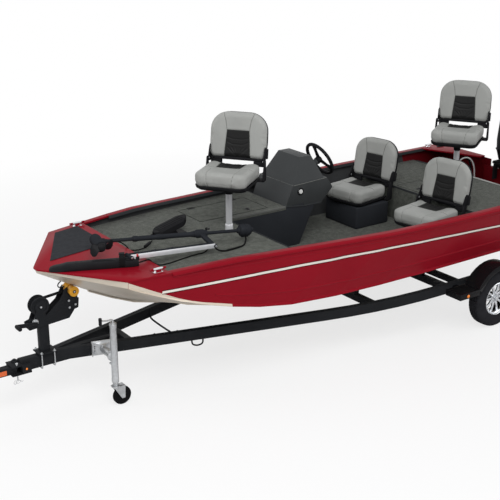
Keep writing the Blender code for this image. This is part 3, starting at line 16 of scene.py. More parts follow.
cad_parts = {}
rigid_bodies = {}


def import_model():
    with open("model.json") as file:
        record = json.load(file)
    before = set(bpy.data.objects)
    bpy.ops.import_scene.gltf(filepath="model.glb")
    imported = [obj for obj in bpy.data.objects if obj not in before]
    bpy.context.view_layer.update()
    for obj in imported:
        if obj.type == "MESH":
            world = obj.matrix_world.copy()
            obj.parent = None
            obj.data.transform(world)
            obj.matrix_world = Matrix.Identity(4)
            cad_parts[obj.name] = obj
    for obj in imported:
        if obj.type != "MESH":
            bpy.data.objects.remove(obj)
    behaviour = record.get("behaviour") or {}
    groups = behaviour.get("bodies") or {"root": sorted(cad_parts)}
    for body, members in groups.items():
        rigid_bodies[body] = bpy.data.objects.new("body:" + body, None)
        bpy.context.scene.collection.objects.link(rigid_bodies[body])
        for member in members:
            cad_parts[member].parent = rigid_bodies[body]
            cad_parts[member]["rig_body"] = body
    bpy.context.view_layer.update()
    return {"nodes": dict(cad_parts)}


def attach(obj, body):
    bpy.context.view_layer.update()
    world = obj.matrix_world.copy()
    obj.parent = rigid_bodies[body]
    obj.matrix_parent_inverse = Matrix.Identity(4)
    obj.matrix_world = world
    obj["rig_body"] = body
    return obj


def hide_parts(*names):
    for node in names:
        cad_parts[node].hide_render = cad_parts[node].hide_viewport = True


bl_info = {"name": "Fishing boat on trailer", "version": (1, 0, 0), "blender": (4, 5, 0),
           "location": "View3D > Sidebar > Boat",
           "description": "Dresses a fishing boat, its motors, seats and trailer", "category": "Add Mesh",}

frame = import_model()
AXLE = Matrix.Translation((-1.65, 0, 0))
BOW_DECK_Z, AFT_DECK_Z, TYRE_RADIUS = 1.1, 1.04, 0.267


def linear(red, green, blue):
    """Turn a colour from 0 to 255 as seen on a screen into linear values."""
    values = []
    for part in (red, green, blue):
        part = part / 255
        values.append(part / 12.92 if part <= 0.04045 else ((part + 0.055) / 1.055) ** 2.4)
    return (*values, 1.0)


def mm(*rows):
    """Turn rows of millimetres into metres."""
    return [tuple(value / 1000 for value in row) for row in rows]


# Modelling by hand, step by step

def ready():
    """Leave edit mode and let go of everything."""
    if bpy.context.object and bpy.context.object.mode != "OBJECT":
        bpy.ops.object.mode_set(mode="OBJECT")
    bpy.ops.object.select_all(action="DESELECT")


def hold(item):
    """Select one object and make it active."""
    ready()
    item.select_set(True)
    bpy.context.view_layer.objects.active = item
    return item


def settle(item):
    """Apply an object's place, turn and size to its mesh."""
    hold(item)
    bpy.ops.object.transform_apply(location=True, rotation=True, scale=True)
    return item


def modify(item, kind, **values):
    """Add a modifier, set it and apply it."""
    hold(item)
    bpy.ops.object.modifier_add(type=kind)
    modifier = item.modifiers[-1]
    for key, value in values.items():
        setattr(modifier, key, value)
    bpy.ops.object.modifier_apply(modifier=modifier.name)
    return item


def rounded(item, width, segments=2, angle=30):
    """Round an object's sharp edges."""
    if width > 0:
        modify(
            item, "BEVEL", width=width, segments=segments, limit_method="ANGLE",
            angle_limit=math.radians(angle), harden_normals=False)
    return item


def slab(low, high, bevel=0.0, segments=2):
    """Block between two corners, given either way round, its edges rounded."""
    ready()
    low, high = Vector(map(min, low, high)), Vector(map(max, low, high))
    bpy.ops.mesh.primitive_cube_add(size=1, location=(low + high) / 2, scale=high - low)
    return rounded(settle(bpy.context.active_object), bevel, segments)


def rod(start, end, radius, sides=20, end_radius=None, bevel=0.0):
    """Round bar or cone from one point to another."""
    ready()
    start, end = Vector(start), Vector(end)
    along = end - start
    turn = along.to_track_quat("Z", "Y").to_euler()
    bpy.ops.mesh.primitive_cone_add(
        vertices=sides, radius1=radius, depth=along.length, rotation=turn,
        radius2=radius if end_radius is None else end_radius, location=(start + end) / 2)
    return rounded(settle(bpy.context.active_object), bevel, 2)


def beam(start, end, width, height, bevel=0.0, segments=2):
    """Rectangular bar between two points, its height kept upright."""
    start, end = Vector(start), Vector(end)
    along = (end - start).normalized()
    side = Vector((0, 0, 1)).cross(along).normalized()
    frame_of = Matrix((along, side, along.cross(side))).transposed().to_4x4()
    ready()
    bpy.ops.mesh.primitive_cube_add(size=1, scale=((end - start).length, width, height))
    item = settle(bpy.context.active_object)
    rounded(item, bevel, segments)
    item.matrix_world = Matrix.Translation((start + end) / 2) @ frame_of
    return settle(item)


def from_parts(points, edges, faces):
    """Object from points, edges and faces."""
    mesh = bpy.data.meshes.new("shape")
    mesh.from_pydata([tuple(point) for point in points], edges, faces)
    mesh.update()
    item = bpy.data.objects.new("shape", mesh)
    bpy.context.scene.collection.objects.link(item)
    return item


def face_out(item, merge=0.00002):
    """Merge doubled points and point all faces outwards."""
    hold(item)
    bpy.ops.object.mode_set(mode="EDIT")
    bpy.ops.mesh.select_all(action="SELECT")
    bpy.ops.mesh.remove_doubles(threshold=merge)
    bpy.ops.mesh.normals_make_consistent(inside=False)
    bpy.ops.object.mode_set(mode="OBJECT")
    return item


def lay(plane, u, v, w):
    """Turn a place in a named plane and across it into X, Y and Z."""
    return {"XY": (u, v, w), "XZ": (u, w, v), "YZ": (w, u, v)}[plane]


def panel(outline, low, high, plane="XZ", bevel=0.0, segments=2):
    """Flat outline extruded across its plane, between two heights given either way round."""
    low, high = sorted((low, high))
    item = from_parts([lay(plane, u, v, low) for u, v in outline], [], [tuple(range(len(outline)))])
    hold(item)
    bpy.ops.object.mode_set(mode="EDIT")
    bpy.ops.mesh.select_all(action="SELECT")
    bpy.ops.mesh.extrude_region_move(TRANSFORM_OT_translate={"value": lay(plane, 0, 0, high - low)})
    bpy.ops.object.mode_set(mode="OBJECT")
    return rounded(face_out(item), bevel, segments)


def turned(profile, steps, centre=(0, 0, 0), axis="Z", closed=False):
    """Profile of radius and height spun round an axis."""
    edges = [(i, i + 1) for i in range(len(profile) - 1)]
    if closed:
        edges.append((len(profile) - 1, 0))
    item = from_parts([(radius, 0, height) for radius, height in profile], edges, [])
    hold(item)
    bpy.ops.object.mode_set(mode="EDIT")
    bpy.ops.mesh.select_all(action="SELECT")
    bpy.ops.mesh.spin(steps=steps, angle=2 * math.pi, center=(0, 0, 0), axis=(0, 0, 1))
    bpy.ops.object.mode_set(mode="OBJECT")
    face_out(item)
    turn = {"Z": Matrix.Identity(4), "Y": Matrix.Rotation(math.radians(-90), 4, "X"),
            "X": Matrix.Rotation(math.radians(90), 4, "Y")}[axis]
    item.matrix_world = Matrix.Translation(centre) @ turn
    return settle(item)


def tube(points, radius, smooth=True, sides=3, cyclic=False):
    """Round wire or tube through points."""
    curve = bpy.data.curves.new("path", "CURVE")
    curve.dimensions = "3D"
    curve.bevel_depth = radius
    curve.bevel_resolution = sides
    curve.use_fill_caps = True
    curve.resolution_u = 8
    if smooth:
        spline = curve.splines.new("BEZIER")
        spline.bezier_points.add(len(points) - 1)
        for point, place in zip(spline.bezier_points, points):
            point.co = place
            point.handle_left_type = "AUTO"
            point.handle_right_type = "AUTO"
    else:
        spline = curve.splines.new("POLY")
        spline.points.add(len(points) - 1)
        for point, place in zip(spline.points, points):
            point.co = (*place, 1)
    spline.use_cyclic_u = cyclic
    item = bpy.data.objects.new("path", curve)
    bpy.context.scene.collection.objects.link(item)
    hold(item)
    bpy.ops.object.convert(target="MESH")
    return face_out(bpy.context.active_object)


def loft(rings, ends=True):
    """Skin through rings with equal numbers of points."""
    count = len(rings[0])
    points = [place for ring in rings for place in ring]
    faces = []
    for row in range(len(rings) - 1):
        for i in range(count):
            j = (i + 1) % count
            faces.append((row * count + i, row * count + j, (row + 1) * count + j, (row + 1) * count + i))
    if ends:
        faces.append(tuple(range(count)))
        faces.append(tuple((len(rings) - 1) * count + i for i in range(count)))
    return face_out(from_parts(points, [], faces))


def facing(place, way):
    """Matrix that turns local Z along a direction and moves it to a place."""
    return Matrix.Translation(place) @ Vector(way).to_track_quat("Z", "Y").to_matrix().to_4x4()


def smooth_line(points, steps=5):
    """Closely spaced points on one smooth curve through the given ones."""
    places = [Vector(place) for place in (points[0], *points, points[-1])]
    line = []
    for a, b, c, d in zip(places, places[1:], places[2:], places[3:]):
        for step in range(steps):
            t = step / steps
            line.append(
                0.5 * (2 * b + (c - a) * t + (2 * a - 5 * b + 4 * c - d) * t**2 + (3 * b - a - 3 * c + d)
                       * t**3))
    return line + [places[-1]]


def band(path, across, width, thick):
    """Closed loop of flat webbing round a path, its width along one direction."""
    rings, count = [], len(path)
    for index in range(count + 1):
        here, before, after = (Vector(path[(index + step) % count]) for step in (0, -1, 1))
        out = (after - before).cross(across).normalized() * thick
        half = across * width / 2
        rings.append([here - half, here + half, here + half + out, here - half + out])
    return loft(rings, False)


def blade(root, tip, chords, pitches, thick, sweep):
    """Twisted propeller blade along X, for a hub that turns about Z."""
    rings = []
    for index, (chord, pitch) in enumerate(zip(chords, pitches)):
        share = index / (len(chords) - 1)
        lean = Matrix.Rotation(math.radians(sweep) * share**1.5, 3, "Z")
        c, s = math.cos(math.radians(pitch)), math.sin(math.radians(pitch))
        ring = []
        for step in range(14):
            angle = 2 * math.pi * step / 14
            u, v = chord / 2 * math.cos(angle), thick / 2 * math.sin(angle) * (1 - 0.7 * share)
            ring.append(lean @ Vector((root + (tip - root) * share, u * c - v * s, u * s + v * c)))
        rings.append(ring)
    return loft(rings)


def joined(items):
    """Join objects into one."""
    ready()
    for item in items:
        item.select_set(True)
    bpy.context.view_layer.objects.active = items[0]
    bpy.ops.object.join()
    return bpy.context.active_object


def moved(item, matrix):
    """Move a scratch object's mesh, or that of a list of them as one, by a matrix."""
    if isinstance(item, list):
        item = joined(item)
    item.matrix_world = matrix @ item.matrix_world
    return settle(item)


def twin(item, matrix=None):
    """Copy of an object with its own mesh."""
    hold(item)
    bpy.ops.object.duplicate(linked=False)
    copy = bpy.context.active_object
    return moved(copy, matrix) if matrix is not None else copy


def put_in_place(item, name, look, body="hull", angle=40, stands_for=()):
    """Name a finished piece or list of pieces, give it its finish and tie it to the body that carries it."""
    item = moved(item, AXLE)
    hold(item)
    bpy.ops.object.shade_smooth_by_angle(angle=math.radians(angle))
    item.name = name
    item.data.name = name
    item.data.materials.clear()
    item.data.materials.append(finishes()[look])
    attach(item, body)
    if stands_for:
        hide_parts(*stands_for)
    return item


def loose_cord(name, points, radius, look):
    """Cable or hose that lies or hangs loose between two places on the boat."""
    line = smooth_line(points)
    item = put_in_place(tube(line, radius, smooth=False), name, look, angle=70)


# Finishes

def shader_node(nodes, kind, **inputs):
    """New shader node with some of its inputs set."""
    made = nodes.new("ShaderNode" + kind)
    for key, value in inputs.items():
        made.inputs[key.replace("_", " ")].default_value = value
    return made


def finish(
        name, colour, roughness, metallic=0, mottle=0, mottle_scale=8, grain=0, grain_scale=600, gloss=0.5,
        coat=0, coat_roughness=0.1, rough_spread=0.08, stretch=(1, 1, 1), second=None):
    """Procedural finish with colour variation, uneven gloss and a fine relief."""
    if name in bpy.data.materials:
        return bpy.data.materials[name]
    made = bpy.data.materials.new(name)
    made.use_nodes = True
    nodes, links = made.node_tree.nodes, made.node_tree.links
    shader = nodes["Principled BSDF"]
    shader.inputs["Metallic"].default_value = metallic
    shader.inputs["Specular IOR Level"].default_value = gloss
    shader.inputs["Coat Weight"].default_value = coat
    shader.inputs["Coat Roughness"].default_value = coat_roughness
    places = shader_node(nodes, "TexCoord")
    scaled = shader_node(nodes, "Mapping", Scale=stretch)
    links.new(places.outputs["Object"], scaled.inputs["Vector"])
    cloud = shader_node(nodes, "TexNoise", Scale=mottle_scale, Detail=4.0)
    links.new(scaled.outputs["Vector"], cloud.inputs["Vector"])
    ramp = shader_node(nodes, "ValToRGB")
    ramp.color_ramp.elements[0].position = 0.32
    ramp.color_ramp.elements[1].position = 0.68
    dark = second if second else tuple(value * (1 - mottle) for value in colour[:3]) + (1,)
    light = colour if second else tuple(min(value * (1 + mottle), 1) for value in colour[:3]) + (1,)
    ramp.color_ramp.elements[0].color = dark
    ramp.color_ramp.elements[1].color = light
    links.new(cloud.outputs["Fac"], ramp.inputs["Fac"])
    links.new(ramp.outputs["Color"], shader.inputs["Base Color"])
    spread = shader_node(
        nodes, "MapRange", To_Min=max(roughness - rough_spread, 0.02),
        To_Max=min(roughness + rough_spread, 1.0))
    links.new(cloud.outputs["Fac"], spread.inputs["Value"])
    links.new(spread.outputs["Result"], shader.inputs["Roughness"])
    if grain > 0:
        fine = shader_node(nodes, "TexNoise", Scale=grain_scale, Detail=3.0)
        links.new(scaled.outputs["Vector"], fine.inputs["Vector"])
        bump = shader_node(nodes, "Bump", Strength=grain, Distance=0.001)
        links.new(fine.outputs["Fac"], bump.inputs["Height"])
        links.new(bump.outputs["Normal"], shader.inputs["Normal"])
    return made


def carpet_finish(name, dark, light):
    """Short looped marine carpet: salt-and-pepper pile with worn, brushed patches."""
    if name in bpy.data.materials:
        return bpy.data.materials[name]
    made = finish(name, light, 0.95, 0, 0, 300, second=dark, rough_spread=0.03)
    nodes, links = made.node_tree.nodes, made.node_tree.links
    shader = nodes["Principled BSDF"]
    shader.inputs["Sheen Weight"].default_value = 0.08
    shader.inputs["Sheen Roughness"].default_value = 0.6
    shader.inputs["Specular IOR Level"].default_value = 0.02
    speckle = nodes["Color Ramp"]
    places = nodes["Texture Coordinate"]
    patches = shader_node(nodes, "TexNoise", Scale=26.0, Detail=6.0)
    links.new(places.outputs["Object"], patches.inputs["Vector"])
    spread = shader_node(nodes, "MapRange", From_Min=0.3, From_Max=0.7, To_Min=0.72, To_Max=1.3)
    links.new(patches.outputs["Fac"], spread.inputs["Value"])
    mix = shader_node(nodes, "Mix")
    mix.data_type = "RGBA"
    mix.blend_type = "MULTIPLY"
    mix.inputs["Factor"].default_value = 1.0
    links.new(speckle.outputs["Color"], mix.inputs["A"])
    links.new(spread.outputs["Result"], mix.inputs["B"])
    links.new(mix.outputs["Result"], shader.inputs["Base Color"])
    pile = shader_node(nodes, "TexVoronoi", Scale=330.0)
    links.new(places.outputs["Object"], pile.inputs["Vector"])
    bump = shader_node(nodes, "Bump", Strength=0.7, Distance=0.003)
    links.new(pile.outputs["Distance"], bump.inputs["Height"])
    links.new(bump.outputs["Normal"], shader.inputs["Normal"])
    return made


def vinyl_finish(name, pale, black):
    """Marine vinyl whose dark panels follow the attribute dark_panel, with a leather grain."""
    if name in bpy.data.materials:
        return bpy.data.materials[name]
    made = finish(name, pale, 0.46, 0, 0.04, 9, 0.1, 1500, 0.12, rough_spread=0.06)
    nodes, links = made.node_tree.nodes, made.node_tree.links
    shader = nodes["Principled BSDF"]
    mark = shader_node(nodes, "Attribute")
    mark.attribute_name = "dark_panel"
    edge = shader_node(nodes, "MapRange", From_Min=0.42, From_Max=0.58)
    links.new(mark.outputs["Fac"], edge.inputs["Value"])
    mix = shader_node(nodes, "Mix")
    mix.data_type = "RGBA"
    mix.inputs["B"].default_value = black
    links.new(edge.outputs["Result"], mix.inputs["Factor"])
    links.new(nodes["Color Ramp"].outputs["Color"], mix.inputs["A"])
    links.new(mix.outputs["Result"], shader.inputs["Base Color"])
    return made


def finishes():
    """All finishes of the boat by a short name.

    After the name and the colour come roughness, metallic, mottle and its scale, grain and its scale,
    gloss, coat and the coat's roughness.
    """
    paint = bpy.context.scene.boat_paint
    steel = bpy.context.scene.boat_trailer
    seat = bpy.context.scene.boat_seats
    return {
        "red": finish("red_gelcoat", tuple(paint.side_colour), 0.36, 0.1, 0.05, 1.6, 0.03, 220, 0.03, 0.05,
                      0.12),
        "beige": finish("bottom_sheet", tuple(paint.bottom_colour), 0.33, 0.35, 0.1, 2.2, 0.04, 160, 0.3,
                        0.1, 0.2, stretch=(0.5, 1.6, 2.0)),
        "stripe": finish("stripe_silver", linear(228, 223, 214), 0.4, 0.15, 0.03, 8, 0.02, 600, 0.3),
        "stripe_edge": finish("stripe_edge", linear(44, 14, 15), 0.45, 0, 0.05, 8, 0, 600, 0.02),
        "carpet": carpet_finish("deck_carpet", linear(20, 22, 20), linear(120, 123, 115)),
        "bunk": carpet_finish("bunk_cover", linear(18, 18, 19), linear(44, 44, 46)),
        "pad": finish("bow_tread", linear(56, 57, 60), 0.78, 0, 0.1, 30, 0.55, 420, 0.01),
        "console": finish("console_plastic", linear(61, 63, 64), 0.46, 0, 0.06, 5, 0.2, 900, 0.06, 0.06,
                          0.28),
        "panel": finish("panel_plastic", linear(47, 49, 53), 0.5, 0, 0.06, 5, 0.25, 900, 0.02, 0.03, 0.3),
        "black": finish("moulded_black", linear(33, 33, 35), 0.42, 0, 0.08, 12, 0.18, 1100, 0.01, 0.05,
                        0.22),
        "gloss": finish("black_gloss", linear(20, 20, 22), 0.2, 0, 0.05, 3, 0.02, 300, 0.02, 0.22, 0.08),
        "motor_grey": finish("motor_grey", linear(42, 44, 48), 0.42, 0, 0.05, 9, 0.14, 900, 0, 0.03, 0.2),
        "steel": finish("powder_black", tuple(steel.frame_colour), 0.34, 0.1, 0.1, 4, 0.1, 500, 0.005, 0.03,
                        0.22),
        "zinc": finish("zinc_plate", linear(186, 188, 190), 0.34, 0.85, 0.1, 40, 0.06, 700),
        "post": finish("satin_aluminum", linear(214, 215, 218), 0.34, 0.35, 0.05, 30, 0.05, 500,
                       stretch=(1, 1, 0.1)),
        "chrome": finish("wheel_chrome", linear(215, 217, 220), 0.1, 1, 0.03, 12, rough_spread=0.04),
        "tyre": finish("tyre_rubber", linear(42, 42, 45), 0.72, 0, 0.12, 14, 0.3, 500, 0.01),
        "rubber": finish("hose_rubber", linear(22, 22, 23), 0.55, 0, 0.08, 20, 0.15, 700, 0.005, 0.04, 0.3),
        "white_hose": finish("white_hose", linear(222, 222, 220), 0.45, 0, 0.04, 20, 0.05),
        "yellow": finish("roller_urethane", linear(222, 160, 52), 0.38, 0, 0.08, 25, 0.05, 300, 0.12),
        "amber": finish("amber_lens", linear(240, 130, 30), 0.2, 0, 0.06, 60, 0.1, 300),
        "red_lens": finish("red_lens", linear(170, 14, 16), 0.18, 0, 0.06, 60, 0.1, 300),
        "webbing": finish("strap_webbing", linear(30, 30, 31), 0.85, 0, 0.2, 220, 0.5, 800, 0.005,
                          stretch=(1, 3, 1)),
        "vinyl": vinyl_finish("seat_vinyl", tuple(seat.vinyl_colour), tuple(seat.panel_colour)),
        "liner": finish("inner_sheet", linear(58, 59, 60), 0.6, 0, 0.08, 5, 0.25, 420, 0.01),
        # Gelcoat red darkened as painted shade, for the walls round the splash well, the transom's inner
        # face and the well itself
        "well": finish("splash_red", linear(92, 12, 20), 0.4, 0.1, 0.08, 4, 0.1, 300, 0.02, 0.04),
        "channel": finish("grey_channel", linear(60, 62, 64), 0.55, 0, 0.08, 14, 0.2, 700, 0.01),
        "trim": finish("pale_trim", linear(168, 168, 164), 0.38, 0.6, 0.05, 20, 0.06),
        "dull_trim": finish("dull_trim", linear(112, 113, 110), 0.5, 0.2, 0.06, 20, 0.1, 600, 0.1),
        "bright_bar": finish("bright_bar", linear(222, 223, 226), 0.32, 0.3, 0.04, 30, 0.04, 500),
        "piping": finish("piping_vinyl", linear(104, 106, 102), 0.5, 0, 0.05, 40, 0.1, 600, 0.2),
        "orange": finish("bare_label", linear(214, 96, 40), 0.5, 0, 0.04, 30),}


# The boat's lines, as its plating has them: station, keel height, chine and rail half-breadths and heights

HULL_TABLE = ((-1.17, 0.56, 0.8, 0.64, 0.985, 1.135), (0.3, 0.555, 0.8, 0.636, 0.99, 1.13),
              (1.3, 0.555, 0.79, 0.634, 0.95, 1.135), (2.2, 0.56, 0.765, 0.668, 0.86, 1.155),
              (2.75, 0.592, 0.74, 0.775, 0.8, 1.165), (3.2, 0.68, 0.7, 0.915, 0.735, 1.15),
              (3.59, 0.86, 0.655, 1.085, 0.662, 1.135), (4.0, 1.092, 0.02, 1.106, 0.022, 1.12),)
STERN_X, KNUCKLE_X, NOSE_X = -1.17, 3.59, 4.0
STATIONS = (STERN_X, -0.6, -0.1, 0.3, 0.8, 1.3, 1.75, 2.2, 2.5, 2.75, 3.0, 3.2, 3.4, KNUCKLE_X, 3.8, NOSE_X)
STRIPE_X, STRIPE_Z, STRIPE_FALL = 2.6, 1.0135, 0.0106


def curved_at(x):
    """Read the hull's table at a station, smooth up to the knuckle."""
    rows = HULL_TABLE
    x = min(max(x, STERN_X), NOSE_X)
    index = max(i for i in range(len(rows) - 1) if rows[i][0] <= x + 1e-9)
    low, high = rows[index], rows[index + 1]
    span = high[0] - low[0]
    t = (x - low[0]) / span
    values = []
    for column in range(1, 6):
        straight = (high[column] - low[column]) / span
        if high[0] > KNUCKLE_X:
            values.append(low[column] + straight * (x - low[0]))
            continue
        before = rows[index - 1] if index > 0 else None
        after = rows[index + 2] if high[0] < KNUCKLE_X else None
        first = straight if before is None else (high[column] - before[column]) / (high[0] - before[0])
        last = straight if after is None else (after[column] - low[column]) / (after[0] - low[0])
        values.append((2 * t**3 - 3 * t**2 + 1) * low[column] + (t**3 - 2 * t**2 + t) * span * first
                      + (3 * t**2 - 2 * t**3) * high[column] + (t**3 - t**2) * span * last)
    return values


def hull_at(x):
    """Keel height, chine and rail half-breadths and heights of the flat plating at a station."""
    x = min(max(x, STERN_X), NOSE_X)
    index = max(i for i in range(len(STATIONS) - 1) if STATIONS[i] <= x + 1e-9)
    low, high = STATIONS[index], STATIONS[index + 1]
    share = (x - low) / (high - low)
    return [a + (b - a) * share for a, b in zip(curved_at(low), curved_at(high))]


def on_side(x, share, side=1, proud=0.0):
    """Point of the topside plating, from the chine at 0 to the rail at 1."""
    keel_z, chine_y, chine_z, rail_y, rail_z = hull_at(x)
    out = Vector((0, rail_z - chine_z, -(rail_y - chine_y))).normalized()
    place = Vector((x, chine_y + (rail_y - chine_y) * share, chine_z + (rail_z - chine_z) * share))
    place += out * proud
    return Vector((place.x, side * place.y, place.z))


def on_bottom(x, share, side=1, proud=0.0):
    """Point of the bottom plating, from the keel at 0 to the chine at 1."""
    keel_z, chine_y, chine_z = hull_at(x)[:3]
    out = Vector((0, chine_z - keel_z, -chine_y)).normalized()
    place = Vector((x, chine_y * share, keel_z + (chine_z - keel_z) * share)) + out * proud
    return Vector((place.x, side * place.y, place.z))


def cap_top(x):
    """Height of the bow cap's upper face."""
    return curved_at(KNUCKLE_X)[4] + 0.014 + (KNUCKLE_X - x) * 0.0375


def stations(first, last, step=0.12):
    """Evenly spaced stations that also take in the plating's own."""
    count = max(int(abs(last - first) / step), 1)
    even = {round(first + (last - first) * i / count, 4) for i in range(count + 1)}
    kept = {x for x in STATIONS if min(first, last) < x < max(first, last)}
    return sorted(even | kept)


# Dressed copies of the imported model's solids

def softened(node, look, width=0.002, segments=2, angle=28, smooth=32, longest=4.0, plain=False):
    """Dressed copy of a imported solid, its long sharp edges rounded."""
    source = frame["nodes"][node]
    item = bpy.data.objects.new("dressed", source.data.copy())
    bpy.context.scene.collection.objects.link(item)
    shape = bmesh.new()
    shape.from_mesh(item.data)
    bmesh.ops.remove_doubles(shape, verts=shape.verts, dist=0.00003)
    if not plain:
        bmesh.ops.dissolve_limit(shape, angle_limit=math.radians(1.0), verts=shape.verts, edges=shape.edges)
    if width > 0:
        picked = []
        for edge in shape.edges:
            if len(edge.link_faces) == 2 and edge.calc_length() > longest * width:
                if edge.calc_face_angle(0) > math.radians(angle):
                    picked.append(edge)
        bmesh.ops.bevel(
            shape, geom=picked, offset=width, segments=segments, profile=0.5, affect="EDGES",
            clamp_overlap=True, loop_slide=True)
    bmesh.ops.recalc_face_normals(shape, faces=shape.faces)
    shape.to_mesh(item.data)
    shape.free()
    item.name = node + "_dressed"
    item.data.name = item.name
    item.data.materials.clear()
    item.data.materials.append(finishes()[look])
    hold(item)
    bpy.ops.object.shade_smooth_by_angle(angle=math.radians(smooth))
    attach(item, source["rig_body"])
    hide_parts(node)
    return item


# Sizes and colours that a user would change

class BoatPaint(PropertyGroup):
    """Colours of the hull."""

    side_colour: FloatVectorProperty(
        name="Topside colour", description="Gelcoat red of the sides and caps", subtype="COLOR", size=4,
        default=(0.248, 0.0055, 0.014, 1.0))
    bottom_colour: FloatVectorProperty(
        name="Bottom colour", description="Almond sheen of the bottom plating", subtype="COLOR", size=4,
        default=(0.59, 0.52, 0.43, 1.0))
    stripe_width: FloatProperty(
        name="Stripe width", description="Width of the silver line along the topside", unit="LENGTH",
        default=0.0195)


class BoatSeats(PropertyGroup):
    """Sizes and colours of the seats."""

    vinyl_colour: FloatVectorProperty(
        name="Vinyl colour", description="Pale grey of the seat covers", subtype="COLOR", size=4,
        default=(0.33, 0.335, 0.32, 1.0))
    panel_colour: FloatVectorProperty(
        name="Panel colour", description="Black of the seats' middle panels", subtype="COLOR", size=4,
        default=(0.014, 0.014, 0.014, 1.0))
    swell: FloatProperty(
        name="Swell", description="Farthest that a stuffed cover may move out", unit="LENGTH",
        default=0.009)
    seam: FloatProperty(name="Seam", description="Depth of the sewn channels", unit="LENGTH", default=0.0035)


class BoatTrailer(PropertyGroup):
    """Sizes and colours of the trailer."""

    frame_colour: FloatVectorProperty(
        name="Frame colour", description="Black of the trailer's tubes", subtype="COLOR", size=4,
        default=(0.019, 0.02, 0.022, 1.0))
    spokes: IntProperty(name="Spokes", description="Number of spokes in each rim", default=10, min=5, max=16)
    tread_blocks: IntProperty(
        name="Tread blocks", description="Number of tread blocks around a tyre", default=60, min=24, max=90)


class BoatStage(PropertyGroup):
    """Floor, light and camera."""

    floor_colour: FloatVectorProperty(
        name="Floor colour", description="Pale floor under the trailer", subtype="COLOR", size=4,
        default=(0.86, 0.86, 0.86, 1.0))
    lens: FloatProperty(
        name="Lens", description="Focal length on a 36 mm sensor in millimetres", default=74.3)
    soft_light: FloatProperty(
        name="Soft light", description="Strength of the light from all round", default=0.5)


# Stage

WHITE = (1, 1, 1, 1)


class BOAT_OT_stage(Operator):
    """Pale floor, soft lights and the camera"""

    bl_idname = "boat.stage"
    bl_label = "Stage"

    def execute(self, context):
        """Make the floor, the lights and the camera."""
        values = context.scene.boat_stage
        ready()
        bpy.ops.mesh.primitive_circle_add(vertices=96, radius=60, fill_type="NGON", location=(0, 0, -0.0006))
        floor = settle(context.active_object)
        floor.name = "floor"
        floor.data.materials.append(self.floor_finish(values))
        self.light_world(values)
        self.add_light("key_light", (3.4, 4.6, 6.4), (-0.2, 0, 0.7), 4.5, 330)
        self.add_light("fill_light", (-6.0, 5.0, 4.2), (-0.5, 0, 0.8), 5.0, 110)
        self.add_light("bow_light", (7.5, -3.4, 4.6), (0.2, 0, 0.8), 4.0, 120)
        camera = bpy.data.objects.new("camera", bpy.data.cameras.new("camera"))
        context.scene.collection.objects.link(camera)
        camera.location = (5.195, 6.763, 3.84)
        camera.rotation_euler = (math.radians(70.3), 0, math.radians(144.7))
        camera.data.lens = values.lens
        camera.data.sensor_width = 36
        camera.data.clip_end = 200
        context.scene.camera = camera
        context.scene.view_settings.view_transform = "Standard"
        return {"FINISHED"}

    def floor_finish(self, values):
        """Floor that keeps a soft shadow and fades to white away from the trailer."""
        made = bpy.data.materials.new("pale_floor")
        made.use_nodes = True
        nodes, links = made.node_tree.nodes, made.node_tree.links
        nodes.clear()
        out = shader_node(nodes, "OutputMaterial")
        diffuse = shader_node(nodes, "BsdfDiffuse", Color=tuple(values.floor_colour))
        glow = shader_node(nodes, "Emission", Color=WHITE, Strength=1.0)
        places = shader_node(nodes, "TexCoord")
        far = shader_node(nodes, "VectorMath")
        far.operation = "LENGTH"
        links.new(places.outputs["Object"], far.inputs[0])
        fade = shader_node(nodes, "MapRange", From_Min=2.5, From_Max=7.0, To_Min=0.74, To_Max=1.0)
        links.new(far.outputs["Value"], fade.inputs["Value"])
        rays = shader_node(nodes, "LightPath")
        seen = shader_node(nodes, "Math")
        seen.operation = "MULTIPLY"
        links.new(rays.outputs["Is Camera Ray"], seen.inputs[0])
        links.new(fade.outputs["Result"], seen.inputs[1])
        mix = shader_node(nodes, "MixShader")
        links.new(seen.outputs["Value"], mix.inputs["Fac"])
        links.new(diffuse.outputs["BSDF"], mix.inputs[1])
        links.new(glow.outputs["Emission"], mix.inputs[2])
        links.new(mix.outputs["Shader"], out.inputs["Surface"])
        return made

    def light_world(self, values):
        """Even light from all round, and white where the camera or a gloss sees it."""
        world = bpy.data.worlds.new("studio")
        bpy.context.scene.world = world
        world.use_nodes = True
        nodes, links = world.node_tree.nodes, world.node_tree.links
        nodes.clear()
        out = shader_node(nodes, "OutputWorld")
        soft = shader_node(nodes, "Background", Color=(0.97, 0.98, 1.0, 1), Strength=values.soft_light)
        white = shader_node(nodes, "Background", Color=WHITE, Strength=1.0)
        rays = shader_node(nodes, "LightPath")
        both = shader_node(nodes, "Math")
        both.operation = "MAXIMUM"
        links.new(rays.outputs["Is Camera Ray"], both.inputs[0])
        clear = shader_node(nodes, "Math")
        clear.operation = "MAXIMUM"
        links.new(rays.outputs["Is Glossy Ray"], clear.inputs[0])
        links.new(rays.outputs["Is Transmission Ray"], clear.inputs[1])
        links.new(clear.outputs["Value"], both.inputs[1])
        mix = shader_node(nodes, "MixShader")
        links.new(both.outputs["Value"], mix.inputs["Fac"])
        links.new(soft.outputs["Background"], mix.inputs[1])
        links.new(white.outputs["Background"], mix.inputs[2])
        links.new(mix.outputs["Shader"], out.inputs["Surface"])

    def add_light(self, name, place, target, size, watts):
        """Soft square lamp that looks at a point."""
        lamp = bpy.data.lights.new(name, "AREA")
        lamp.shape = "SQUARE"
        lamp.size = size
        lamp.energy = watts
        item = bpy.data.objects.new(name, lamp)
        bpy.context.scene.collection.objects.link(item)
        item.location = place
        item.rotation_euler = (Vector(target) - Vector(place)).to_track_quat("-Z", "Y").to_euler()


# Hull

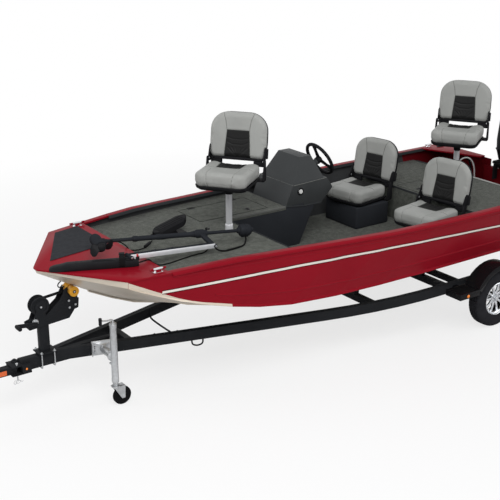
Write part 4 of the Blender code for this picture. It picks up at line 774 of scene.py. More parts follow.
class BOAT_OT_hull(Operator):
    """Hull plating in its colours, with chine beads, strakes, keel and stripe"""

    bl_idname = "boat.hull"
    bl_label = "Hull"

    def execute(self, context):
        """Dress the hull's shell and add its mouldings."""
        shell = softened("hull_shell", "red", 0.0, plain=True, smooth=16)
        for look in ("beige", "liner", "well"):
            shell.data.materials.append(finishes()[look])
        for face in shell.data.polygons:
            face.material_index = self.side_of(face.center - AXLE.translation, face.normal)
        self.shell = shell
        self.mouldings(context)
        return {"FINISHED"}

    def side_of(self, place, normal):
        """Finish of a face of the shell: 0 red for topsides and stern, 1 almond for the bottom and the
        raked bow, 2 grey for the inside and 3 darker red round the splash well, painted shade where its
        walls and the transom's inner face lie in shadow.
        """
        if place.x < -0.6:
            chine_z = hull_at(place.x)[2]
            if place.x < STERN_X + 0.0015:
                return 0
            # Inward and forward facing walls aft of x -0.6 take the darker red: painted shade
            if normal.y * place.y < 0 and normal.z > -0.02 and place.z > chine_z + 0.01 or normal.x > 0.9:
                return 3
        keel_z, chine_y, chine_z, rail_y, rail_z = hull_at(place.x)
        low, high = Vector((0, chine_z - keel_z, -chine_y)), Vector((0, rail_z - chine_z, chine_y - rail_y))
        width = abs(place.y)
        under = abs((width - chine_y) * low.y + (place.z - chine_z) * low.z) / low.length
        beside = abs((width - chine_y) * high.y + (place.z - chine_z) * high.z) / high.length
        if normal.z < 0.02 and under < 0.004 and place.z < chine_z + 0.002:
            return 1
        if place.x > KNUCKLE_X and normal.z < 0.3 and normal.x > 0:
            return 1
        if normal.y * place.y > 0 and beside < 0.004:
            return 0
        return 0 if place.x > 3.27 or abs(normal.z) > 0.9 and place.z > 1.0 else 2

    def on_shell(self, x, share, side, proud):
        """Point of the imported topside's true surface and its outward direction."""
        a, b = on_side(x, share, side), on_side(x, share, side, 1.0)
        out = (b - a).normalized()
        start = AXLE @ (a + out * 0.03)
        hit, spot, normal, face = self.shell.ray_cast(start, -out)
        if hit:
            a = AXLE.inverted() @ spot
        return a + out * proud, out

    def mouldings(self, context):
        """Chine beads, bottom strakes, keel, side stripe and bow eye."""
        paint = context.scene.boat_paint
        chines, fronts, strakes, stripes, borders, creases = [], [], [], [], [], []
        for side in (1, -1):
            rings = []
            for x in stations(STERN_X + 0.002, KNUCKLE_X - 0.01):
                foot = on_side(x, 0.0, side)
                up = on_side(x, 0.055, side, 0.0004)
                lip = on_side(x, 0.012, side, 0.01)
                under = on_bottom(x, 0.975, side, 0.0004)
                rings.append([under, foot + (lip - foot) * 0.7 + Vector((0, 0, -0.003)), lip, up])
            split = sum(ring[1].x < 2.76 for ring in rings)
            chines.append(loft(rings[:split]))
            fronts.append(loft(rings[split - 1:]))
            for share, last in ((0.36, 2.95), (0.68, 3.25)):
                rings = []
                for x in stations(STERN_X + 0.02, last):
                    fade = min(1.0, (last - x) / 0.25 + 0.05)
                    inner = on_bottom(x, share - 0.022, side, -0.0004)
                    outer = on_bottom(x, share + 0.02, side, -0.0004)
                    drop = on_bottom(x, share + 0.016, side, 0.013 * fade)
                    first = on_bottom(x, share + 0.004, side, 0.012 * fade)
                    rings.append([inner, first, drop, outer])
                strakes.append(loft(rings))
            first, last = STERN_X + 0.004, 3.33
            half = paint.stripe_width / 2
            for offset, thick, width, group in (
                    (0.0, 0.0018, half, stripes), (1.42, 0.0016, half * 0.22, borders),
                    (-1.42, 0.0016, half * 0.22, borders)):
                rings = []
                for x in stations(first, last, 0.03):
                    rise = 0.1 / max(hull_at(x)[4] - hull_at(x)[2], 0.05)
                    share = self.stripe_share(x) + offset * half * 10 * rise
                    a, out = self.on_shell(x, share, side, -0.0004)
                    up = (on_side(x, share + 0.1, side) - on_side(x, share, side)).normalized()
                    low, high, lift = a - up * width, a + up * width, out * thick
                    rings.append([low, low + lift, high + lift, high])
                group.append(loft(rings))
            for share, last in ((0.26, 2.9), (0.9, 3.25)):
                rings = []
                for x in stations(STERN_X + 0.004, last, 0.03):
                    a, out = self.on_shell(x, share, side, -0.0003)
                    up = (on_side(x, share + 0.1, side) - on_side(x, share, side)).normalized()
                    rings.append([a - up * 0.011, a - up * 0.003 + out * 0.0042,
                                  a + up * 0.003 + out * 0.0042, a + up * 0.011])
                creases.append(loft(rings))
            rings = []
            for x in stations(2.86, KNUCKLE_X - 0.002, 0.04):
                high = 0.046 * (x - 2.84) / (KNUCKLE_X - 2.84) / max(hull_at(x)[4] - hull_at(x)[2], 0.05)
                low_edge, out = self.on_shell(x, 0.004, side, 0.0)
                high_edge, out = self.on_shell(x, min(high, 0.93), side, 0.0)
                rings.append([low_edge - out * 0.0004, low_edge + out * 0.0008, high_edge + out * 0.0008,
                              high_edge - out * 0.0004])
            fronts.append(loft(rings))
        put_in_place(chines, "chine_beads", "red")
        put_in_place(fronts, "bow_flanks", "beige")
        put_in_place(strakes, "bottom_strakes", "beige", angle=30)
        put_in_place(stripes, "side_stripe", "stripe", angle=30)
        put_in_place(borders, "stripe_borders", "stripe_edge", angle=30)
        put_in_place(creases, "side_creases", "red", angle=50)
        keel = []
        for x in stations(STERN_X + 0.002, KNUCKLE_X):
            keel_z = hull_at(x)[0]
            keel.append([(x, -0.016, keel_z + 0.0016), (x, -0.01, keel_z - 0.011),
                         (x, 0.01, keel_z - 0.011), (x, 0.016, keel_z + 0.0016)])
        put_in_place(loft(keel), "keel_bar", "beige")
        eye = tube(
            mm((3800, 0, 955), (3822, 0, 938), (3838, 0, 952), (3830, 0, 972), (3812, 0, 985)), 0.0045,
            sides=4)
        put_in_place(eye, "bow_eye", "steel", angle=50)

    def stripe_share(self, x):
        """Height of the stripe on the topside, as a share from chine to rail.

        It rises in a shallow bow to its highest place, STRIPE_Z at STRIPE_X.
        """
        chine_z, rail_z = hull_at(x)[2], hull_at(x)[4]
        return (STRIPE_Z - STRIPE_FALL * (x - STRIPE_X) ** 2 - chine_z) / (rail_z - chine_z)


class BOAT_OT_rails(Operator):
    """Gunwales with their rub rails, bow cap with its tread pad and cleats, and the splash well"""

    bl_idname = "boat.rails"
    bl_label = "Gunwales and bow cap"

    def execute(self, context):
        """Dress the rails, the bow cap and the splash well."""
        for node in ("rail_cap_port", "rail_cap_starboard"):
            softened(node, "red", 0.004, 3)
        softened("bow_cap", "red", 0.003, 2)
        softened("bow_pad", "pad", 0.0015, 2)
        # The splash well takes the darker red: painted shade
        softened("splash_well", "well", 0.0015, 2)
        trims, channels = [], []
        for side in (1, -1):
            rings, inner = [], []
            for x in stations(STERN_X + 0.004, 3.262):
                rail_y, rail_z = hull_at(x)[3:5]
                y = side * (rail_y + 0.0085)
                rings.append([(x, y + side * v, rail_z + w) for v, w in (
                                  (-0.0005, -0.016), (0.005, -0.013), (0.0065, -0.002), (0.004, 0.009),
                                  (-0.0005, 0.012))])
                if x < 3.1:
                    y = side * (rail_y - 0.0475)
                    inner.append([(x, y - side * v, rail_z + w)
                                  for v, w in ((0.0, 0.012), (0.009, 0.011), (0.01, -0.014),
                                               (0.0, -0.015))])
            trims.append(loft(rings))
            channels.append(loft(inner))
        put_in_place(trims, "rub_rails", "red", angle=50)
        put_in_place(channels, "rail_channels", "channel")
        self.cleats()
        return {"FINISHED"}

    def cleats(self):
        """Two chromed bow cleats with waisted horns."""
        pieces = []
        for side in (1, -1):
            x, y, z = 3.34, side * 0.655, cap_top(3.34)
            horn = turned(
                mm((0, 66), (5, 65), (7.5, 58), (8.5, 40), (10.5, 18), (11.2, 0), (10.5, -18), (8.5, -40),
                   (7.5, -58), (5, -65), (0, -66)), 18, (x, y, z + 0.0262), "X")
            pieces.append(horn)
            for foot in (-0.02, 0.02):
                pieces.append(
                    rod((x + foot * 1.15, y, z - 0.0005), (x + foot * 0.75, y, z + 0.024), 0.0115, 16,
                        0.0075))
            pieces.append(
                slab((x - 0.038, y - 0.0135, z - 0.0005), (x + 0.038, y + 0.0135, z + 0.004), 0.0018))
        put_in_place(pieces, "bow_cleats", "chrome")


# Stern fittings

class BOAT_OT_stern(Operator):
    """Stern cleats, flush vents and the hoses that loop out of the splash well"""

    bl_idname = "boat.stern"
    bl_label = "Stern fittings"

    def execute(self, context):
        """Make the fittings of the stern corners and the splash well."""
        top = hull_at(STERN_X)[4] + 0.0145
        cleats, vents, slots = [], [], []
        for side in (1, -1):
            y = side * 0.952
            cleats.append(
                turned(mm((0, 52), (5, 51), (7.5, 44), (9, 16), (9.5, 0), (9, -16), (7.5, -44), (5, -51),
                          (0, -52)), 18, (-0.965, y, top + 0.024), "X"))
            for foot in (-0.016, 0.016):
                cleats.append(
                    rod((-0.965 + foot * 1.2, y, top - 0.001), (-0.965 + foot * 0.8, y, top + 0.022), 0.01,
                        16, 0.007))
            cleats.append(slab((-0.998, y - 0.012, top - 0.001), (-0.932, y + 0.012, top + 0.0035), 0.0015))
            outline = [(-1.075 + 0.05 * math.cos(a), side * 0.885 + 0.024 * math.sin(a))
                       for a in (2 * math.pi * step / 32 for step in range(32))]
            vents.append(panel(outline, top - 0.001, top + 0.0055, "XY", 0.002, 2))
            for step in range(5):
                x = -1.103 + step * 0.014
                slots.append(
                    slab((x - 0.003, side * 0.885 - 0.014, top + 0.005),
                         (x + 0.003, side * 0.885 + 0.014, top + 0.0062), 0.0005, 1))
        put_in_place(cleats, "stern_cleats", "chrome")
        put_in_place(vents, "stern_vents", "black")
        put_in_place(slots, "vent_slots", "channel")
        cuffs = []
        for name, radius, look, points in (
                ("pump_hose", 0.0078, "white_hose",
                 mm((-930, -500, 912), (-932, -498, 960), (-938, -490, 1040), (-956, -465, 1108),
                    (-990, -420, 1136), (-1018, -378, 1116), (-1034, -350, 1050), (-1040, -342, 970),
                    (-1041, -340, 912))),
                ("fuel_hose", 0.011, "rubber",
                 mm((-962, -545, 914), (-964, -541, 970), (-972, -528, 1050), (-992, -495, 1106),
                    (-1018, -452, 1120), (-1034, -418, 1096), (-1040, -400, 1030), (-1041, -396, 960),
                    (-1041, -395, 914)))):
            loose_cord(name, points, radius, look)
            for place in (points[0], points[-1]):
                cuffs.append(
                    turned(((0.0, 0.0), (radius + 0.008, 0.0), (radius + 0.008, 0.006),
                            (radius + 0.002, 0.01), (radius + 0.002, 0.024), (0.0, 0.024)), 24,
                           (place[0], place[1], 0.9075)))
        put_in_place(cuffs, "hose_cuffs", "black")
        return {"FINISHED"}


# Decks

class BOAT_OT_decks(Operator):
    """Carpeted decks, lids with their latches and hinges, and the metal trims"""

    bl_idname = "boat.decks"
    bl_label = "Decks and lids"

    def execute(self, context):
        """Dress decks and lids."""
        for node in ("bow_deck", "aft_deck", "side_deck_lid", "aft_deck_lid"):
            softened(node, "carpet", 0.003, 2)
        softened("cockpit_floor", "carpet", 0.0)
        bright = beam((-0.7435, -0.13, 1.0432), (-0.7435, 0.9, 1.0432), 0.028, 0.004, 0.001)
        put_in_place(bright, "aft_trim", "trim")
        inner = beam((1.5, -0.2285, 1.098), (2.138, -0.2285, 1.098), 0.0035, 0.022, 0.001)
        put_in_place(inner, "side_deck_trim", "dull_trim")
        trims = [beam((2.1385, -0.235, 1.0985), (2.1385, 0.8, 1.0985), 0.0035, 0.02, 0.001),
                 beam((0.1215, -0.8, 1.0385), (0.1215, 0.8, 1.0385), 0.0035, 0.02, 0.001),
                 beam((-0.7435, -0.9, 1.043), (-0.7435, -0.131, 1.043), 0.026, 0.003, 0.001)]
        put_in_place(trims, "deck_trims", "channel")
        self.lid_frame("side_deck_lid", (1.64, 2.36, -0.69, -0.3, BOW_DECK_Z))
        self.lid_frame("aft_deck_lid", (-0.24, 0.08, -0.33, 0.33, AFT_DECK_Z))
        self.latch("side_deck_lid", (1.822, -0.377, BOW_DECK_Z), 0.024)
        self.latch("aft_deck_lid", (-0.012, -0.102, AFT_DECK_Z), 0.026)
        self.latch("hull", (2.409, -0.11, BOW_DECK_Z), 0.018)
        self.small_grips()
        self.hinges()
        return {"FINISHED"}

    def lid_frame(self, body, limits):
        """Dark bound edge round a lid's carpet."""
        x0, x1, y0, y1, z = limits
        pieces = []
        inset, z = 0.0078, z + 0.0002
        corners = [(x0 + inset, y0 + inset, z), (x1 - inset, y0 + inset, z), (x1 - inset, y1 - inset, z),
                   (x0 + inset, y1 - inset, z)]
        for start, end in zip(corners, corners[1:] + corners[:1]):
            pieces.append(beam(start, end, 0.0042, 0.0024, 0.0006))
        put_in_place(pieces, body + "_edge", "black", body=body)

    def latch(self, body, place, size):
        """Flush latch with a round dish and a finger bar."""
        x, y, z = place
        dish = turned(
            ((0.0, 0.0018), (size * 0.62, 0.002), (size * 0.7, 0.0046), (size * 0.94, 0.005), (size, 0.003),
             (size, -0.0005), (0.0, -0.0005)), 32, (x, y, z))
        bar = slab(
            (x - size * 0.56, y - size * 0.17, z + 0.0016), (x + size * 0.56, y + size * 0.17, z + 0.005),
            0.0012)
        tag = body if body != "hull" else "bow_deck"
        put_in_place(dish, tag + "_latch", "gloss", body=body)
        put_in_place(bar, tag + "_latch_bar", "black", body=body)

    def small_grips(self):
        """Pull tab that stands on the bow deck, and the trim at the console's foot."""
        angles = (0.5, 1.6, 2.6, 3.7, 4.7, 5.8)
        sizes = ((0.01, 0.007, 0.0), (0.007, 0.005, 0.018), (0.013, 0.009, 0.026), (0.005, 0.004, 0.031))
        tab = loft([[(u * math.cos(a), v * math.sin(a), w) for a in angles] for u, v, w in sizes])
        put_in_place(moved(tab, Matrix.Translation((2.449, -0.075, 1.0998))), "deck_pull", "black", angle=50)
        foot = [beam((1.505, -0.2262, 1.102), (1.3, -0.2262, 1.075), 0.0045, 0.012, 0.0015),
                beam((1.3, -0.2262, 1.075), (1.098, -0.2262, 1.075), 0.0045, 0.012, 0.0015)]
        put_in_place(foot, "console_foot_trim", "channel")

    def hinges(self):
        """Hinge leaves on the lids and their knuckles on the decks."""
        knuckles = []
        for body, points in (
                ("side_deck_lid", [(1.78, -0.6875), (2.22, -0.6875)]),
                ("aft_deck_lid", [(-0.2375, -0.2), (-0.2375, 0.2)])):
            pieces = []
            for x, y in points:
                if body == "side_deck_lid":
                    pieces.append(
                        slab((x - 0.035, y + 0.004, 1.0998), (x + 0.035, y + 0.026, 1.1022), 0.0008))
                    knuckles.append(
                        rod((x - 0.035, y - 0.008, 1.1008), (x + 0.035, y - 0.008, 1.1008), 0.0028, 12))
                else:
                    pieces.append(
                        slab((x + 0.004, y - 0.035, 1.0398), (x + 0.026, y + 0.035, 1.0422), 0.0008))
                    knuckles.append(
                        rod((x - 0.008, y - 0.035, 1.0408), (x - 0.008, y + 0.035, 1.0408), 0.0028, 12))
            put_in_place(pieces, body + "_hinges", "black", body)
        put_in_place(knuckles, "lid_knuckles", "black")


# Console and helm

class BOAT_OT_console(Operator):
    """Helm console with its hood, gauges, switches and steering wheel"""

    bl_idname = "boat.console"
    bl_label = "Console and helm"

    def execute(self, context):
        """Dress the console."""
        softened("console", "console", 0.012, 3, longest=2.6)
        softened("console_side_panel", "panel", 0.003, 2)
        softened("driver_seat_box", "panel", 0.0)
        self.socket()
        self.dash()
        self.hood_line()
        self.wheel()
        return {"FINISHED"}

    def socket(self):
        """White charging socket with a black ring on the console's inner side."""
        x, y, z = 1.34, -0.23, 1.215
        ring = turned(
            mm((18, 0), (34, 0), (34, 4), (30, 8), (22, 8), (18, 4)), 40, (x, y, z), "Y", closed=True)
        cap = turned(mm((0, 0), (21, 0), (21, 8), (18, 12), (0, 13)), 36, (x, y, z), "Y")
        put_in_place(ring, "socket_ring", "gloss")
        put_in_place(cap, "socket_cap", "white_hose")

    def dash(self):
        """Gauges, switches and key on the driver's face of the console."""
        lean = math.atan2(0.114, 0.2)
        face = Matrix.Translation((1.093, -0.49, 1.4)) @ Matrix.Rotation(math.radians(-90) + lean, 4, "Y")
        pods, faces, needles, keys = [], [], [], []
        for y in (-0.06, 0.06):
            local = Matrix.Translation((0.03, y, 0.0))
            ring = turned(mm((36, -4), (43, -4), (43, 4), (40, 7), (37, 6), (36, 2)), 36, closed=True)
            pods.append(moved(ring, face @ local))
            disc = turned(mm((0, 1), (36.5, 1), (36.5, -3), (0, -3)), 36)
            faces.append(moved(disc, face @ local))
            needle = panel(mm((-22, -0.8), (6, -1.6), (6, 1.6), (-22, 0.8)), 0.0016, 0.0024, "XY")
            needles.append(moved(needle, face @ local @ Matrix.Rotation(0.7, 4, "Z")))
            hub = turned(mm((0, 3.5), (3, 3), (3.5, 1), (0, 1)), 16)
            needles.append(moved(hub, face @ local))
            for step in range(9):
                turn = Matrix.Rotation(math.radians(-130 + 32.5 * step), 4, "Z")
                tick = slab((-0.0335, -0.0006, 0.0012), (-0.0285, 0.0006, 0.0016))
                needles.append(moved(tick, face @ local @ turn))
        for index in range(4):
            base = slab(
                (-0.034, -0.072 + index * 0.03, -0.002), (-0.014, -0.054 + index * 0.03, 0.003), 0.001)
            keys.append(moved(base, face))
            rocker = slab(
                (-0.031, -0.07 + index * 0.03, 0.001), (-0.017, -0.056 + index * 0.03, 0.006), 0.002)
            keys.append(moved(rocker, face @ Matrix.Rotation(0.03, 4, "Y")))
        put_in_place(pods, "gauge_rings", "zinc")
        put_in_place(faces, "gauge_faces", "gloss")
        put_in_place(needles, "gauge_hands", "white_hose")
        put_in_place(keys, "dash_switches", "black")

    def hood_line(self):
        """Light bead on the seam between the console's lower box and its hood; its pale colour is a painted
        highlight.
        """
        line = tube(
            mm((1042, -229, 1296), (1410, -229, 1279), (1422, -240, 1279), (1423.5, -730, 1279),
               (1412, -739.5, 1279)), 0.003, smooth=False, sides=2)
        put_in_place(line, "hood_seam", "dull_trim")

    def wheel(self):
        """Padded three-spoke wheel with a hub cap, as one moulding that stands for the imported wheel."""
        rim = turned(
            [(0.162 + 0.0158 * math.cos(math.radians(a)), 0.0158 * math.sin(math.radians(a)))
             for a in range(0, 360, 30)], 72, closed=True)
        pieces = [rim]
        grips = []
        for angle in (90, 210, 330):
            turn = Matrix.Rotation(math.radians(angle), 4, "Z")
            spoke = loft([[(0.018, -0.026, -0.014), (0.018, 0.026, -0.014), (0.018, 0.022, -0.001),
                           (0.018, -0.022, -0.001)],
                          [(0.095, -0.019, -0.011), (0.095, 0.019, -0.011), (0.095, 0.016, 0.001),
                           (0.095, -0.016, 0.001)],
                          [(0.16, -0.026, -0.009), (0.16, 0.026, -0.009), (0.16, 0.021, 0.007),
                           (0.16, -0.021, 0.007)]])
            pieces.append(moved(rounded(spoke, 0.003, 2), turn))
            for step in (-24, -12, 0, 12, 24):
                spin = Matrix.Rotation(math.radians(angle + step * 0.9), 4, "Z")
                ridge = turned(
                    mm((15.4, -2.2), (16.7, -1.2), (16.7, 1.2), (15.4, 2.2)), 18, axis="Y", closed=True)
                grips.append(moved(ridge, spin @ Matrix.Translation((0.162, 0, 0))))
        hub = turned(mm((0, 10), (24, 9), (31, 5), (34, -2), (34, -40), (28, -45), (0, -45)), 40)
        cap = turned(mm((0, 13.5), (16, 12.5), (21, 9.5), (22, 8.5), (0, 8.5)), 36)
        pieces += [hub, joined(grips)]
        lean = math.radians(28)
        place = facing((0.905, -0.5, 1.395), (-math.cos(lean), 0, math.sin(lean)))
        put_in_place(
            moved(pieces, place), "helm_wheel", "black", body="steering_wheel",
            stands_for=("steering_wheel",))
        put_in_place(moved(cap, place), "helm_cap", "zinc", "steering_wheel")


# Seats

SEATS = {"bow": (2.27, 0.0, 1.485, 37.0, "bow_seat", "bow_seat_back"),
         "driver": (0.45, -0.47, 0.93, 10.0, "hull", "driver_seat_back"),
         "passenger": (0.45, 0.49, 0.93, 10.0, "hull", "passenger_seat_back"),
         "stern": (-0.39, 0.0, 1.465, 33.0, "stern_seat", "stern_seat_back"),}
HINGE = (-0.19, 0, 0.165)
CUSHION_PANEL = ((-0.3, -0.122), (-0.3, 0.122), (0.03, 0.1), (0.03, -0.1))
BACK_PANEL = ((-0.1, -0.122), (-0.1, 0.122), (0.246, 0.098), (0.246, -0.098))


def inside(outline, u, v):
    """Distance of a place inside a convex outline, below zero outside it."""
    centre = [sum(point[i] for point in outline) / len(outline) for i in (0, 1)]
    nearest = 9.0
    for (au, av), (bu, bv) in zip(outline, outline[1:] + outline[:1]):
        length = math.hypot(bu - au, bv - av)
        across = ((bu - au) * (v - av) - (bv - av) * (u - au)) / length
        way = ((bu - au) * (centre[1] - av) - (bv - av) * (centre[0] - au)) / length
        nearest = min(nearest, across if way > 0 else -across)
    return nearest


def off_line(points, u, v):
    """Distance from a place to a broken line."""
    nearest = 9.0
    place = Vector((u, v))
    for start, end in zip(points, points[1:]):
        start, end = Vector(start), Vector(end)
        share = max(0.0, min(1.0, (place - start).dot(end - start) / (end - start).length_squared))
        nearest = min(nearest, (place - start.lerp(end, share)).length)
    return nearest


def stuffed(item, swell, low, high):
    """Stuffed cover: remeshed, swollen by cloth pressure, capped and kept between two corners."""
    modify(item, "REMESH", mode="VOXEL", voxel_size=0.006, use_smooth_shade=True)
    before = [vertex.co.copy() for vertex in item.data.vertices]
    hold(item)
    bpy.ops.object.modifier_add(type="CLOTH")
    cloth = item.modifiers[-1]
    cloth.settings.quality = 5
    cloth.settings.use_pressure = True
    cloth.settings.uniform_pressure_force = 4.0
    cloth.settings.effector_weights.gravity = 0.0
    cloth.point_cache.frame_end = 20
    scene = bpy.context.scene
    for step in range(1, 21):
        scene.frame_set(step)
    hold(item)
    bpy.ops.object.modifier_apply(modifier=cloth.name)
    scene.frame_set(1)
    for vertex, place in zip(item.data.vertices, before):
        move = vertex.co - place
        if move.length > swell:
            vertex.co = place + move * (swell / move.length)
        for axis in range(3):
            vertex.co[axis] = min(max(vertex.co[axis], low[axis]), high[axis])
    modify(item, "SUBSURF", levels=1, render_levels=1)
    return item


def sew(item, lines, u_axis, v_axis, way, depth, width=0.0055):
    """Press sewn channels into the faces that look one way."""
    normals = [vertex.normal.copy() for vertex in item.data.vertices]
    for vertex, normal in zip(item.data.vertices, normals):
        if normal.dot(way) < 0.25:
            continue
        nearest = min(off_line(line, vertex.co[u_axis], vertex.co[v_axis]) for line in lines)
        if nearest < 3 * width:
            vertex.co -= normal * depth * math.exp(-(nearest / width) ** 2)
    item.data.update()
    return item


def mark_dark(item, rule):
    """Write how far inside the dark panel each point lies."""
    mark = item.data.attributes.new("dark_panel", "FLOAT", "POINT")
    for index, vertex in enumerate(item.data.vertices):
        mark.data[index].value = max(0.0, min(1.0, 0.5 + rule(vertex.co, vertex.normal) / 0.02))


def draped_cord(item, lines, u_axis, v_axis, way, radius, lift, step=0.012):
    """Piping that follows lines along the faces that look one way."""
    pieces = []
    for line in lines:
        points = []
        for start, end in zip(line, line[1:]):
            start, end = Vector(start), Vector(end)
            count = max(int((end - start).length / step), 1)
            for index in range(count):
                points.append(start.lerp(end, index / count))
        points.append(Vector(line[-1]))
        path = []
        for place in points:
            origin = way * 0.6
            origin[u_axis], origin[v_axis] = place
            hit, spot, normal, face = item.ray_cast(origin, -way)
            if hit:
                path.append(spot + normal * lift)
        if len(path) > 2:
            pieces.append(tube(path, radius, smooth=True, sides=2))
    return joined(pieces)


def round_ring(x0, x1, half, front_radius, aft_radius, z, count=6):
    """Level ring like a rounded rectangle, its front and aft corners of two radii."""
    ring = []
    for cx, cy, radius, start in (
            (x1 - front_radius, half - front_radius, front_radius, 90),
            (x0 + aft_radius, half - aft_radius, aft_radius, 180),
            (x0 + aft_radius, aft_radius - half, aft_radius, 270),
            (x1 - front_radius, front_radius - half, front_radius, 360)):
        for step in range(count + 1):
            angle = math.radians(start - 90 + 90 * step / count)
            ring.append((cx + radius * math.cos(angle), cy + radius * math.sin(angle), z))
    return ring


class BOAT_OT_seats(Operator):
    """Four folding seats: stuffed vinyl covers on black shells"""

    bl_idname = "boat.seats"
    bl_label = "Seats"

    def execute(self, context):
        """Make one cushion and one back, and copy them to every seat."""
        values = context.scene.boat_seats
        cushion, cushion_piping = self.make_cushion(values)
        back, back_piping = self.make_back(values)
        parts = (("cushion", cushion, "vinyl", "grey_vinyl", 180, "seat_cushion"),
                 ("cushion_piping", cushion_piping, "piping", "grey_vinyl", 180, None),
                 ("seat_tub", self.make_tub(), "black", "black_plastic", 50, "seat_pan"),
                 ("backrest", back, "vinyl", "grey_vinyl", 180, "seat_back"),
                 ("back_piping", back_piping, "piping", "grey_vinyl", 180, None),
                 ("back_shell", self.make_shell(), "black", "black_plastic", 50, None),
                 ("back_arms", self.make_arms(), "black", "black_plastic", 35, None),
                 ("back_bolts", self.make_bolts(), "zinc", "zinc", 35, None))
        for name, (x, y, z, yaw, carrier, back_body) in SEATS.items():
            place = Matrix.Translation((x, y, z)) @ Matrix.Rotation(math.radians(yaw), 4, "Z")
            hinge = place @ Matrix.Translation(HINGE) @ Matrix.Rotation(math.radians(-10), 4, "Y")
            for tag, item, look, slot, angle, node in parts:
                folds = tag.startswith("back")
                body, spot = (back_body, hinge) if folds else (carrier, place)
                stands_for = (node + "_" + name,) if node else ()
                piece = put_in_place(twin(item, spot), tag + "_" + name, look, body, angle, stands_for)
        for part in parts:
            bpy.data.objects.remove(part[1], do_unlink=True)
        self.posts()
        return {"FINISHED"}

    def make_cushion(self, values):
        """Seat cushion with a rolled waterfall front and a black middle panel."""
        rings = [round_ring(*sizes) for sizes in mm(
                     (-150, 206, 180, 45, 30, 30), (-164, 232, 204, 55, 35, 32),
                     (-170, 250, 219, 64, 35, 50), (-172, 259, 227, 70, 35, 80),
                     (-172, 259, 228, 70, 35, 118), (-170, 255, 224, 67, 34, 138),
                     (-160, 240, 212, 60, 32, 150), (-134, 208, 182, 45, 30, 152))]
        item = stuffed(loft(rings), values.swell, (-0.1745, -0.2335, 0.0268), (0.265, 0.2335, 0.156))
        for vertex in item.data.vertices:
            if vertex.co.z > 0.09:
                u, v = vertex.co.x, abs(vertex.co.y)
                dish = 0.013 * max(0.0, 1 - (v / 0.15) ** 2) * max(0.0, 1 - ((u + 0.09) / 0.15) ** 2)
                vertex.co.z -= dish
        up, forward = Vector((0, 0, 1)), Vector((1, 0, 0))
        across = ((0.012, -0.226), (0.028, -0.15), (0.03, -0.1), (0.03, 0.1), (0.028, 0.15), (0.012, 0.226))
        sides = [((-0.172, s * 0.122), (0.03, s * 0.1)) for s in (1, -1)]
        fronts = [((0.08, s * 0.124), (0.18, s * 0.118), (0.25, s * 0.112)) for s in (1, -1)]
        faces = [((s * 0.112, 0.14), (s * 0.106, 0.09), (s * 0.098, 0.042)) for s in (1, -1)]
        sew(item, [across] + sides + fronts, 0, 1, up, values.seam)
        sew(item, faces, 1, 2, forward, values.seam)
        pleats = [((-0.165, offset), (0.024, offset * 0.84)) for offset in (-0.075, -0.025, 0.025, 0.075)]
        sew(item, pleats, 0, 1, up, values.seam * 0.5, 0.004)
        mark_dark(item, lambda co, no: min(inside(CUSHION_PANEL, co.x, co.y), (co.z - 0.06) * 2))
        top = draped_cord(item, [across] + sides, 0, 1, up, 0.0019, 0.0002)
        front = draped_cord(item, fronts, 0, 1, up, 0.0013, -0.0006)
        face = draped_cord(item, faces, 1, 2, forward, 0.0013, -0.0006)
        return item, joined([top, front, face])

    def back_outline(self, inset, radius=0.165):
        """Outline of a seat back across and up, its shoulders round."""
        half, top, low = 0.262 - inset, 0.41 - inset, 0.004 + inset
        points = [(-half + 0.04, low), (-half + 0.018, low + 0.012), (-half + 0.006, low + 0.05),
                  (-half, 0.15)]
        for side in (-1, 1):
            for step in range(9):
                angle = math.radians(180 - 90 / 8 * step) if side < 0 else math.radians(90 - 90 / 8 * step)
                points.append((side * (half - 0.002 - radius) + radius * math.cos(angle),
                               top - radius * 0.92 + radius * 0.92 * math.sin(angle)))
        return points + [(half, 0.15), (half - 0.006, low + 0.05), (half - 0.018, low + 0.012),
                         (half - 0.04, low)]

    def make_back(self, values):
        """Seat back with round shoulders, side bolsters and a black pleated panel."""
        item = panel(self.back_outline(0.006), -0.064, -0.019, "YZ", 0.0185, 4)
        stuffed(item, values.swell, (-0.07, -0.2615, 0.0035), (-0.0105, 0.2615, 0.4095))
        for vertex in item.data.vertices:
            if vertex.co.x > -0.042:
                v, w = abs(vertex.co.y), vertex.co.z
                vertex.co.x -= 0.012 * max(0.0, 1 - (v / 0.15) ** 2) * max(0.0, 1 - ((w - 0.15) / 0.2) ** 2)
        forward = Vector((1, 0, 0))
        lines = [((-0.098, 0.246), (0.098, 0.246))]
        lines += [((s * 0.116, 0.01), (s * 0.098, 0.246), (s * 0.11, 0.32), (s * 0.136, 0.396))
                  for s in (1, -1)]
        sew(item, lines, 1, 2, forward, values.seam)
        folds = [((0.0, 0.02), (offset, 0.1)) for offset in (-0.085, -0.048, -0.016, 0.016, 0.048, 0.085)]
        folds += [((-0.088, 0.182), (-0.04, 0.17), (0.04, 0.17), (0.088, 0.182)),
                  ((-0.09, 0.145), (-0.045, 0.126), (0.045, 0.126), (0.09, 0.145))]
        sew(item, folds, 1, 2, forward, values.seam * 0.8, 0.005)
        mark_dark(item, lambda co, no: min(inside(BACK_PANEL, co.z, co.y), (no.x + 0.3) * 0.05))
        return item, draped_cord(item, lines, 1, 2, forward, 0.0019, 0.0002)

